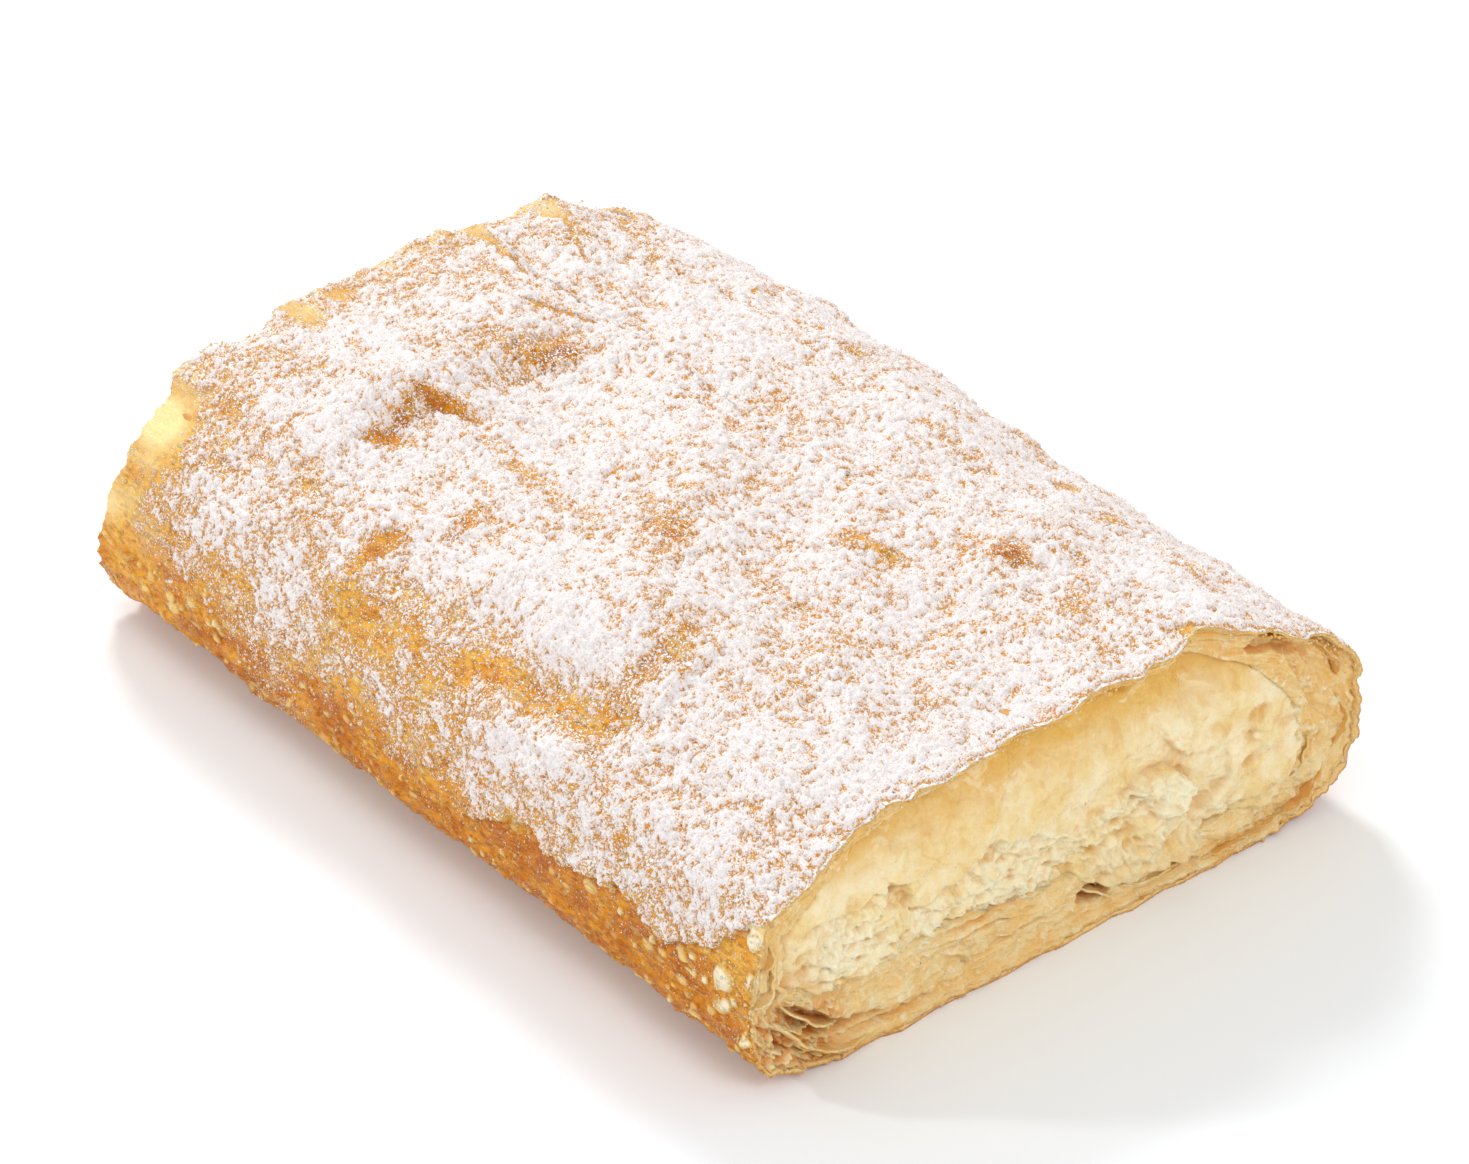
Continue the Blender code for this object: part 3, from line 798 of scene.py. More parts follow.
def foldsAlong(points):  # thin folds and lips low on the sides
    total = np.zeros(len(points))
    stretched = points * np.array([1, 0.2, 0.2])
    for number, (level, proud) in enumerate(wrapSettings["folds"]):
        wander = lumpSum(stretched, (1.2 * mm, 9 * mm, 141 + number), (0.5 * mm, 2.6 * mm, 144 + number))
        over = points[:, 2] - level - wander
        strong = smoothStep(-0.3, 0.35, lumps(stretched, 11 * mm, 147 + number))
        lip = np.where(over > 0, np.exp(-over / (1.0 * mm)), np.exp(-(over / (0.28 * mm)) ** 2))
        total += proud * strong * lip
    return total


def crustRelief(x, points):
    y, z = points[:, 1], points[:, 2]
    offBase = smoothStep(0.05 * mm, 1.1 * mm, z)
    high = topShare(z)
    bubble, pale = blisterAt(points)
    crowd = np.clip(0.3 + 0.9 * (1 - high) + 0.5 * lumps(points, 9 * mm, 33), 0, 1)  # more on the sides
    grainy = lumps(points, 0.7 * mm, 26)
    for *place, radius, lift in cornerPuffs:
        dome = domeOf(np.linalg.norm(points / mm - np.array(place), axis=1) / radius + 0.2 * grainy, 1.1)
        bubble = bubble + dome * (lift + 0.22 * grainy * (radius > 1)) * mm
        pale = np.maximum(pale, 1.5 * dome)
    pearl, pearlPale = pearlsAt(points)
    bubble, pale = np.maximum(bubble, pearl * 1.2), np.maximum(pale, pearlPale)
    low = smoothStep(15 * mm, 5 * mm, z)
    calm = smoothStep(30 * mm, 38 * mm, y) * smoothStep(40 * mm, 56 * mm, x)  # far side, near the front cut
    wrinkle = wrapSettings["wrinkle"] * lumps(points * np.array([0.16, 1, 1]), 1.1 * mm, 34)
    relief = bubble * (1 - 0.6 * calm) * crowd + wrinkle * (0.35 + low) * (1 - 0.75 * calm)
    relief += foldsAlong(points) * (1 - high) + 0.4 * mm * calm * lumps(points, 4.5 * mm, 39)
    relief += low * lumpSum(points, (0.3 * mm, 3.2 * mm, 31), (0.16 * mm, 1.2 * mm, 32))
    relief += wrapSettings["fine"] * lumps(points, 0.8 * mm, 35) + ledgeHeight(x, y) * high
    relief += lumpSum(points, *wrapSettings["swell"]) * (0.25 + 0.75 * high)
    relief += blots(x, y, wrapSettings["trims"]) * high * mm
    over = tearHeight(x, points)
    onSheet = smoothStep(-0.2 * mm, 0.2 * mm, over)
    fade = smoothStep(-6 * mm, 8 * mm, x) * (y < 0) * smoothStep(2 * mm, 7 * mm, z)
    lip = tornSheet["lip"] * onSheet * np.exp(-(over / (2.4 * mm)) ** 2)
    relief += fade * (lip - tornSheet["below"] * (1 - onSheet))
    return relief * offBase, pale * crowd * offBase


def endProfile():  # rows that turn in at a cut: (back from the edge, depth under the skin, share of the wall)
    sheet = rollShape["sheet"]
    lip = [(0.02, 0.15), (0.0, 0.5), (0.05, 0.85), (0.35, 1.0), (1.3, 1.05), (2.3, 1.1)]
    rows = [(back * mm, depth * sheet, 0.0) for back, depth in lip]
    return rows + [(4.0 * mm, 0.0, share) for share in (0.4, 0.7, 0.95)]


def rimTable(end):  # where the curd's side is, straight in from each place round the skin
    tree = treeOf("curd_cheese")
    left, right, level = curdSettings["spine"]
    x = end * curdSettings["probe"]
    along = np.linspace(0, girth, 361)
    found = []
    for point in onSkin(np.full(361, x), along):
        start, middle = Vector(point), Vector((x, min(right, max(left, point[1])), level))
        found.append((tree.ray_cast(start, (middle - start).normalized())[0] or middle)[:])
    found = np.array(found)
    return along, found[:, 1], found[:, 2]


def inWall(end, x, along, share):  # a point part of the way from the baked skin to the curd
    skin = onSkin(x, along, crustRelief(x, onSkin(x, along))[0])
    rimAlong, rimY, rimZ = rims[end]
    place = np.mod(along, girth)
    rim = np.stack([x, np.interp(place, rimAlong, rimY), np.interp(place, rimAlong, rimZ)], axis=1)
    return skin + (rim - skin) * np.asarray(share)[:, None]


def wallAt(end, along):  # the skin just inside a cut, and how thick the wall is there
    x = np.full(len(along), end * wrapSettings["justInside"])
    skin = onSkin(x, along)
    return skin, np.linalg.norm(inWall(end, x, along, np.ones(len(along))) - skin, axis=1)


curdSettings = {
    "spine": (-26 * mm, 22 * mm, 18.5 * mm),  # its left and right ends and its height
    "probe": 50 * mm,  # where its outline is read from the frame
    "straight": 210,  # points along the top of a face, and again along its bottom
    "fan": 90,  # points round each of its ends
    "rings": (78, 44, 6),  # on the front face, on the back face and between them
    "recess": 2.3 * mm,
    "behindCut": 0.5 * mm,
    "rimWobble": 0.7 * mm,
}
rims = {end: rimTable(end) for end in (1, -1)}


def makeWrap():
    along = roundPlaces()
    profile = endProfile()
    rows, turn = wrapSettings["rows"], len(profile)
    piece, row, column = addGrid("bakedWrap", rows + 2 * turn, len(along))
    s = along[column]
    front, back = sheetReach(1, along), -sheetReach(-1, along)
    points, blister, inside = np.zeros((len(row), 3)), np.zeros(len(row)), np.zeros(len(row))
    outer = (row >= turn) & (row < turn + rows)
    x = mix(back[column[outer]], front[column[outer]], (row[outer] - turn) / (rows - 1))
    relief, blister[outer] = crustRelief(x, onSkin(x, s[outer]))
    points[outer] = onSkin(x, s[outer], relief)
    toFront = front[column[outer]] - x
    inside[outer] = 0.55 * smoothStep(1.3 * mm, 0.2 * mm, toFront) * topShare(points[outer, 2])
    for step, (inset, depth, wall) in enumerate(profile):
        for end, edge, number in ((1, front, turn + rows + step), (-1, back, turn - 1 - step)):
            here = row == number
            x = edge[column[here]] - end * inset
            if wall:
                points[here] = inWall(end, x, s[here], np.full(here.sum(), wall))
            else:
                points[here] = onSkin(x, s[here], crustRelief(x, onSkin(x, s[here]))[0] - depth)
            inside[here] = 0.3 if step < 2 else 0.8
    movePoints(piece, points)
    x, y, z = points.T
    onTop = z > 20 * mm
    # darker towards the bottom of the sides
    browned = 0.15 + 0.85 * smoothStep(20 * mm, 8 * mm, z)
    browned -= 0.45 * smoothStep(-30 * mm, -58 * mm, x) * smoothStep(4 * mm, 12 * mm, z)
    browned += lumpSum(points, (0.35, 8 * mm, 71), (0.3, 2.5 * mm, 72))
    torn = smoothStep(-4 * mm, 6 * mm, x) * (y < 0)
    browned += torn * (0.5 - 0.9 * aboveTear(x, points)) * smoothStep(26 * mm, 20 * mm, z)
    # the slopes of bumps on top are darker: partly browning, partly painted shade
    browned += blots(x, y, wrapSettings["steep"]) * onTop
    # paler at the near front corner: partly thinner dough, partly painted light shining through it
    browned -= 0.5 * smoothStep(44 * mm, 58 * mm, x) * smoothStep(-34 * mm, -42 * mm, y)
    paleEnd = smoothStep(-46 * mm, -60 * mm, x) * smoothStep(12 * mm, 18 * mm, z)
    paleEnd = paleEnd * (0.8 + lumps(points, 4 * mm, 73))
    bareFlap = blots(x, y, wrapSettings["bareFlap"]) * smoothStep(22 * mm, 25 * mm, z)
    dust = np.maximum(coverAt(x, points), 0.28 * smoothStep(18 * mm, 24 * mm, z)) * outer
    dust = dust * (1 - np.clip(bareFlap, 0, 1))
    inside = np.maximum(np.maximum(inside, 0.6 * paleEnd), bareFlap)
    paint(piece, browned=browned, blister=blister, dust=dust, inside=inside,
          burnt=blots(x, y, wrapSettings["burnt"]) * onTop)
    closeUp(piece)
    finishPiece(piece, bakedDoughFinish, "baked_dough", "strudel_wrap")


makeWrap()


# ---- icing sugar: a blanket with gaps, in strips along the roll

sugarBlanket = {
    "step": 0.175 * mm,
    "strips": 5,
    "lowest": 8 * mm,
    "thick": 0.6 * mm,
    # crowded clumps (share, spacing, salt) and looser noise (share, size, salt)
    "clumps": [(0.55, 0.85 * mm, 51), (0.3, 0.45 * mm, 52)],
    "grains": [(0.2, 2.8 * mm, 56), (0.4, 1.3 * mm, 53), (0.26, 0.6 * mm, 55), (0.1, 0.32 * mm, 54)],
    "level": 0.6,
    "steps": 1.5,  # how sharply cover turns into thickness
    # rounded clumps on the cover: height, size, salt
    "heaps": [(0.30 * mm, 0.95 * mm, 61), (0.16 * mm, 0.5 * mm, 62)],
}


def sugarHeight(x, points):  # height of the sugar over the skin; below zero where the crust is bare
    cover = coverAt(x, points)
    level = (cover - sugarBlanket["level"]) * sugarBlanket["steps"] - 0.12
    swirl = np.stack([lumps(points, 0.9 * mm, 57 + k) for k in range(3)], axis=1) * 0.22 * mm
    for share, spacing, salt in sugarBlanket["clumps"]:
        level = level + share * (domeOf(spots(points + swirl, spacing, salt)[0] / 0.8) - 0.35)
    level = level + lumpSum(points, *sugarBlanket["grains"])
    height = sugarBlanket["thick"] * np.where(level > 0, level / (0.6 + 0.5 * level), level * 1.5)
    for tall, size, salt in sugarBlanket["heaps"]:
        heap = domeOf(spots(points + 0.8 * swirl, size, salt)[0] / 0.75)
        height = height + tall * (heap - 0.5) * smoothStep(-0.15, 0.2, level)
    return height, cover


def growInside(mask, row, column, rows, columns):  # keeps only points whose four neighbours are set too
    table = np.full((rows, columns), False)
    table[row, column] = mask
    kept = table.copy()
    kept[1:] &= table[:-1]
    kept[:-1] &= table[1:]
    kept[:, 1:] &= table[:, :-1]
    kept[:, :-1] &= table[:, 1:]
    return kept[row, column]


def makeSugarStrip(name, low, high):
    step = sugarBlanket["step"]
    rows, columns = int(2 * rollShape["cutPlane"] / step), int((high - low) / step)
    along = np.linspace(low, high, columns)
    piece, row, column = addGrid(name, rows, columns)
    front, back = sheetReach(1, along)[column] - 0.06 * mm, 0.06 * mm - sheetReach(-1, along)[column]
    x = mix(back, front, np.clip((row - 1) / (rows - 3), 0, 1))
    plain = onSkin(x, along[column])
    height = sugarHeight(x, plain)[0]
    toEdge = np.minimum(front - x, x - back)
    toEdge = toEdge + lumpSum(plain, (0.4 * mm, 1.0 * mm, 58), (0.4 * mm, 3.2 * mm, 59))
    height = height - 0.55 * mm * smoothStep(0.85 * mm, 0.25 * mm, toEdge)
    first, last = row == 0, row == rows - 1
    lift = crustRelief(x, plain)[0] + np.where(first | last, -0.3 * mm, height)
    movePoints(piece, onSkin(x + 0.05 * mm * first - 0.05 * mm * last, along[column], lift))
    paint(piece, thick=height / sugarBlanket["thick"])
    dropPoints(piece, growInside(height < -0.12 * mm, row, column, rows, columns))
    finishPiece(piece, icingSugarFinish, "icing_sugar")


def alongAtHeight(height, near):  # where a side of the oval reaches a height
    half = len(ovalAlong) // 2
    if near:
        return np.interp(-height, -ovalZ[half:], ovalAlong[half:])
    return np.interp(height, ovalZ[:half], ovalAlong[:half])


farLow, nearLow = (alongAtHeight(sugarBlanket["lowest"], near) for near in (False, True))
stripEdges = np.linspace(farLow, nearLow, sugarBlanket["strips"] + 1)
for number, (low, high) in enumerate(zip(stripEdges, stripEdges[1:])):
    makeSugarStrip("icingSugar" + str(number + 1), low, high)


# ---- the relief of the cut faces, in millimetres across (y) and up (z)

curdFace = {
    # the smooth upper part ends on this line; below it the curd is torn and lies a little deeper
    "tear": [
        (-46, 17), (-40, 18), (-36, 19.5), (-29.2, 19.4), (-27.8, 20.3), (-24, 20.5), (-22.5, 19),
        (-21.9, 16.2), (-19.3, 15.7), (-14.6, 16.7), (-12.5, 18.1), (-11.7, 19.2), (-9.7, 19.1),
        (-6, 17.7), (-1.9, 16.3), (1.8, 15.6), (8, 16.6), (12, 18.2), (14.2, 17.8), (18, 16), (20, 12),
        (24, 9), (30, 8), (46, 8),
    ],
    "torn": 0.5,
    # overlapping slabs: line with the raised slab on its right, height, falloff
    "ledges": [
        ([(1.8, 14.7), (-1.9, 16.3), (-6, 17.7), (-9.7, 19.1), (-11.7, 19.2), (-12.5, 18.1),
          (-16.8, 16.2), (-19.3, 15.7), (-22, 16), (-22.5, 19), (-24, 20.5), (-27.8, 20.3),
          (-29.2, 19.2)], 0.7, 3.5),
        ([(-26, 17.6), (-22.3, 15.8), (-22.1, 14.2), (-24.3, 12.9), (-24.7, 11.7), (-27.7, 11.5),
          (-29.4, 11), (-32.2, 11), (-36, 11.8)], 1.2, 5.5),
        ([(-27.6, 15.5), (-29.5, 15.6), (-31.8, 15.9)], 0.7, 1.6),
        ([(-25.5, 19), (-28, 17.6), (-31, 17.8)], 0.6, 2.0),
        ([(-38.2, 11.6), (-34.6, 12.8), (-33.2, 9.2), (-35.5, 8)], 0.9, 3.0),
        ([(19.6, 17.5), (18.1, 18.1), (15.5, 20.7), (14.8, 22.7)], 0.8, 3.0),
        ([(9.6, 16.8), (12.1, 17.9), (14.8, 18.1), (18, 14.7), (18.3, 13.1), (16.9, 12.1), (14.2, 11.2),
          (13.7, 9.5), (12.9, 7.9), (10, 7.4)], 1.9, 4.0),
        ([(21, 3.2), (15.8, 3.9), (12.2, 4.1), (8, 4.7), (4.3, 6.4), (0, 8.2)], 1.4, 3.0),
        ([(36.5, 12), (35.4, 8), (34.7, 6.4), (32.9, 5.5), (29.8, 5.9), (25, 6.6)], 1.0, 4.0),
        ([(6, 12), (1, 12.6), (-4, 11.4), (-9, 12.2)], 0.6, 2.0),
        ([(-6, 14), (-12, 13.2), (-18, 13.8)], 0.6, 2.2),
        ([(30, 14), (27.4, 16.8), (27.8, 19.6)], 0.7, 2.2), ([(21, 9), (24.5, 12.4), (24, 16)], 0.6, 2.4),
        ([(9, 13.2), (11, 15.4), (9.4, 16.6)], 0.6, 1.6),
        ([(-33, 14), (-36, 15.4), (-38.4, 18)], 0.6, 2.0),
    ],
    # soft folds: line, height, half-breadth
    "folds": [
        ([(-8.1, 30.7), (-7.8, 27.9), (-8.3, 26.5), (-10.2, 23.7), (-12.2, 20.6)], 1.1, 0.9),
        ([(-27.8, 27.6), (-26.2, 25.6), (-23.7, 22.4)], 0.9, 1.2),
        ([(-31.5, 26), (-30.2, 21.5)], 0.5, 1.1), ([(-36, 25), (-34.5, 20.5)], 0.6, 1.2),
        ([(2.5, 31), (1.8, 27), (3, 23)], 0.5, 1.6), ([(-2.5, 23), (-5, 19.5)], 0.4, 1.1),
        ([(24, 28), (27, 23), (28, 18)], 0.5, 1.6),
    ],
    # scooped places: y, z, half-breadth, half-height, depth
    "scoops": [
        (-18, 27, 6.5, 4.6, 1.3), (-4, 26, 3, 3.5, 0.8), (17, 27, 6, 4, 0.8), (-33, 25, 3, 3, 0.5),
        (28.6, 18.6, 1.3, 1.1, 1.0), (28.2, 16.0, 1.8, 0.8, 0.9), (27.6, 12.9, 1.5, 0.8, 0.8),
        (22.6, 11.6, 1.6, 1.0, 0.8), (-30, 8, 8, 2.0, 0.8), (-2, 13, 3, 1.5, 0.5),
    ],
    # golden patches of painted shade in hollows, under the top sheet and on a lobe's shaded side: y, z,
    # half-breadth, half-height, heading, strength
    "shadePatches": [
        (-24.5, 28.6, 4.5, 2.0, 10, 0.5), (-31, 26.6, 3, 1.6, 20, 0.35), (-6, 29.6, 3, 1.6, 0, 0.4),
        (8, 30, 5, 1.8, 0, 0.3), (28.4, 19.2, 1.6, 1.4, 0, 0.6), (27.6, 12.9, 1.6, 1.0, 0, 0.4),
        (-38, 13, 2, 3.4, 30, 0.5), (20, 30.4, 6, 2.2, 0, 0.3),
    ],
    # lobes that stand out: y, z, half-breadth, half-height, height
    "lobes": [
        (-28, 16.2, 5.0, 3.6, 0.9), (-36.5, 15.5, 4.4, 5.0, 1.0), (-37, 10.5, 4.2, 3.4, 1.0),
        (1.5, 15.2, 2.6, 2.2, 0.9), (4.5, 14.0, 2.4, 2.2, 1.1), (7, 15.4, 2.2, 1.8, 0.9),
        (12.5, 16.2, 2.4, 2.0, 0.9), (15.2, 14.6, 2.8, 3.0, 1.1), (13.5, 10.2, 2.2, 2.2, 0.8),
        (16.8, 8.4, 2.8, 2.6, 1.0), (11.5, 6.8, 3.6, 2.0, 0.9), (15.8, 5.6, 3.0, 1.8, 0.9),
        (29.5, 17, 10.5, 12.5, 1.6), (33, 10, 3.6, 3.8, 0.9), (7.2, 29.6, 1.8, 1.1, 1.2),
        (9.6, 28.8, 1.2, 0.9, 0.9), (-29, 29.0, 1.6, 0.9, 1.0),
    ],
    "crumbs": [(1.1, 3.2), (0.75, 1.5), (0.36, 0.75), (0.16, 0.42)],  # height, size
    "puffs": [(0.8, 2.8, 14), (0.4, 1.3, 15), (0.25, 0.6, 16)],  # soft granules with creases between them
    "terrace": 0.75,
}


def curdRelief(end, y, z):  # y, z in mm; gives the height in mm, how torn it is and how smooth
    salt = 101 if end > 0 else 151
    if end < 0:
        y = -y * 0.93 - 2.0  # the other cut: the same loaf torn elsewhere
    place = flatPoints(salt, y, z)
    warpY, warpZ = (
        lumpSum(place, (0.8, 3, salt + 2 * k), (0.42, 1.1, salt + 1 + 2 * k), (0.2, 0.5, salt + 20 + k))
        for k in (0, 1)
    )
    y2, z2 = y + warpY, z + warpZ
    smooth = smoothStep(-0.5, 0.6, z2 - follow(y2, curdFace["tear"]))
    height = -curdSettings["recess"] / mm * smoothStep(21, 31, z) - curdFace["torn"] * (1 - smooth)
    for line, tall, falloff in curdFace["ledges"]:
        height = height + 1.3 * tall * ledge(y + 0.7 * warpY, z + 0.7 * warpZ, line, falloff, 0.12)
    for line, tall, breadth in curdFace["folds"]:
        away, side, along = lineAway(y + 0.4 * warpY, z, line)
        height = height + tall * np.exp(-(away / breadth) ** 2) * fadeEnds(along, 0.08, 0.7)
    for centreY, centreZ, halfY, halfZ, depth in curdFace["scoops"]:
        height = height - depth * np.exp(-((y2 - centreY) / halfY) ** 2 - ((z2 - centreZ) / halfZ) ** 2)
    lobe = np.zeros(len(y))
    for centreY, centreZ, halfY, halfZ, tall in curdFace["lobes"]:
        away = ((y2 - centreY) / halfY) ** 2 + ((z2 - centreZ) / halfZ) ** 2
        lobe = np.maximum(lobe, tall * np.clip(1 - away, 0, 1) ** 0.75)
    rough = 1 - 0.8 * smooth
    warped = flatPoints(salt, y2 * 0.8, z2 * 1.1)
    crumb = lumpSum(warped, *((*layer, salt + 4 + k) for k, layer in enumerate(curdFace["crumbs"])))
    level = crumb / curdFace["terrace"]
    stepped = (np.floor(level) + smoothStep(0.7, 0.95, level - np.floor(level))) * curdFace["terrace"]
    puffs = sum(tall * np.abs(lumps(warped, size, salt + k)) for tall, size, k in curdFace["puffs"])
    height = height + lobe * (1 - 0.5 * smooth) + rough * (0.2 * crumb + 0.65 * stepped + puffs - 0.2)
    return height + 0.1 * lumps(place, 1.8, salt + 8), rough * np.clip(0.45 + 0.9 * crumb, 0, 1), smooth


def blurTable(table, reach):  # a soft average over a table, reach in cells
    kernel = np.exp(-(np.arange(-2 * reach, 2 * reach + 1) / reach) ** 2)
    kernel /= kernel.sum()
    padded = np.pad(table, 2 * reach, mode="edge")
    rowsDone = sum(k * padded[i:i + table.shape[0]] for i, k in enumerate(kernel))
    return sum(k * rowsDone[:, i:i + table.shape[1]] for i, k in enumerate(kernel))


faceGrid = {"step": 0.16, "y": (-46, 46), "z": (0, 36), "near": 5, "wide": 14}  # mm; blurs in cells


def faceTable(end):  # height, torn, smooth and hollow on a fine table, so that hollows can be found
    places = [np.arange(*faceGrid[side], faceGrid["step"]) for side in ("y", "z")]
    y, z = (t.ravel() for t in np.meshgrid(*places, indexing="ij"))
    height, torn, smooth = (t.reshape([len(p) for p in places]) for t in curdRelief(end, y, z))
    near, wide = blurTable(height, faceGrid["near"]), blurTable(height, faceGrid["wide"])
    return height, torn, smooth, np.clip((near - height) + 0.7 * (wide - height), 0, 1.5)


def readFace(end, y, z):  # y, z in metres; the four looks of a cut at each place
    sides = ((y, faceGrid["y"][0], 0), (z, faceGrid["z"][0], 1))
    shape = faceTables[end][0].shape
    i, j = (np.clip((v / mm - low) / faceGrid["step"], 0, shape[k] - 1.01) for v, low, k in sides)
    return [readTable(table, i, j) for table in faceTables[end]]


faceTables = {end: faceTable(end) for end in (1, -1)}
print("cut faces worked out")


# ---- the curd cheese with its two cut faces

def curdRim(end):  # the curd's outline at a cut, by rays from its spine
    tree = treeOf("curd_cheese")
    left, right, level = curdSettings["spine"]
    straight, fan = curdSettings["straight"], curdSettings["fan"]
    quarter = math.pi / 2
    starts, ways = [], []
    for first, last, turn in ((right, left, 1), (left, right, 3)):
        starts += [*np.linspace(first, last, straight), *[last] * fan]
        swing = np.linspace(turn * quarter, (turn + 2) * quarter, fan + 2)
        ways += [*[turn * quarter] * straight, *swing[1:-1]]
    x = end * curdSettings["probe"]
    rim = []
    for y, angle in zip(starts, ways):
        way = Vector((0, math.cos(angle), math.sin(angle)))
        middle = Vector((x, y, level))
        place = tree.ray_cast(middle + way * 60 * mm, -way)[0]
        rim.append((place.y, place.z))
    rim = np.array(rim)
    for turn in range(6):
        rim = (np.roll(rim, 1, 0) + 2 * rim + np.roll(rim, -1, 0)) / 4
    return np.array(starts), rim


def makeCurdFilling():
    left, right, level = curdSettings["spine"]
    frontRings, backRings, between = curdSettings["rings"]
    outlines = {end: curdRim(end) for end in (1, -1)}
    columns = len(outlines[1][0])
    rows = frontRings + between + backRings
    piece, row, column = addGrid("curdFilling", rows, columns + 1)
    column = column % columns
    points = np.zeros((len(row), 3))
    looks = {name: np.zeros(len(row)) for name in ("torn", "warmAndShade", "toastedAndShade", "creviceShade")}
    for end, first, rings in ((1, 0, frontRings), (-1, rows - 1, backRings)):
        here = np.abs(row - first) < rings
        share = np.abs(row[here] - first) / (rings - 1)
        starts, rim = outlines[end]
        spine = np.stack([starts[column[here]], np.full(here.sum(), level)], axis=1)
        edge = rim[column[here]]
        flat = mix(spine, edge, share[:, None])
        wobble = smoothStep(0.75, 1.0, share) * (1 + smoothStep(20 * mm, 28 * mm, flat[:, 0]))
        uneven = 0.3 + lumpSum(flatPoints(end * mm, *flat.T), (1, 2.6 * mm, 97), (0.5, 1.0 * mm, 98))
        wobble = curdSettings["rimWobble"] * wobble * uneven * smoothStep(29 * mm, 25 * mm, flat[:, 1])
        flat = flat + (edge - spine) * (wobble / np.linalg.norm(edge - spine, axis=1))[:, None]
        if end > 0:
            lower = smoothStep(0.5, 1.0, share) * (edge[:, 1] < level)
            flat[:, 1] -= 2.6 * mm * lower * np.exp(-((flat[:, 0] / mm - 12.5) / 8.0) ** 4)
        y, z = flat.T
        height, torn, smooth, hollow = readFace(end, y, z)
        reach = rollShape["cutPlane"] - curdSettings["behindCut"] + np.minimum(0, cutReach(end, y, z))
        x = reach + height * mm - 1.2 * mm * smoothStep(0.92, 1.0, share) ** 2
        points[here] = np.stack([end * x, y, z], axis=1)
        looks["torn"][here] = torn
        # yellower towards the top under the overhanging sheet, partly the curd's own colour and partly
        # painted shade, and yellower near the dough at the bottom
        looks["warmAndShade"][here] = smooth * (0.15 + 0.8 * smoothStep(21 * mm, 29 * mm, z))
        looks["warmAndShade"][here] += 0.3 * smoothStep(11 * mm, 7 * mm, z)
        # golden right under the top sheet, partly baked colour and partly painted shade, golden at the rim,
        # and golden patches of painted shade
        looks["toastedAndShade"][here] = smoothStep(28 * mm, 32 * mm, z) * 0.5 + 0.45 * smoothStep(0.94, 1.0, share)
        looks["toastedAndShade"][here] += blots(y, z, curdFace["shadePatches"])
        # painted shade in hollows of the relief
        looks["creviceShade"][here] = np.clip(hollow - 0.1, 0, 1) * 0.55
    for step in range(between):
        here = row == frontRings + step
        share = (step + 1) / (between + 1)
        y, z = mix(outlines[1][1], outlines[-1][1], share)[column[here]].T
        inward = np.stack([np.clip(y, left, right) - y, level - z], axis=1)
        inward *= 1.5 * mm / np.linalg.norm(inward, axis=1)[:, None]
        x = wrapSettings["justInside"] * (1 - 2 * share)
        points[here] = flatPoints(x, y + inward[:, 0], z + inward[:, 1])
        looks["toastedAndShade"][here] = 0.5
    movePoints(piece, points)
    paint(piece, **looks)
    editAll(piece, mergeSeam, faceOut)
    finishPiece(piece, curdFinish, "curd", "curd_cheese")


makeCurdFilling()


# ---- the pack of dough leaves between the skin and the curd, pressed together

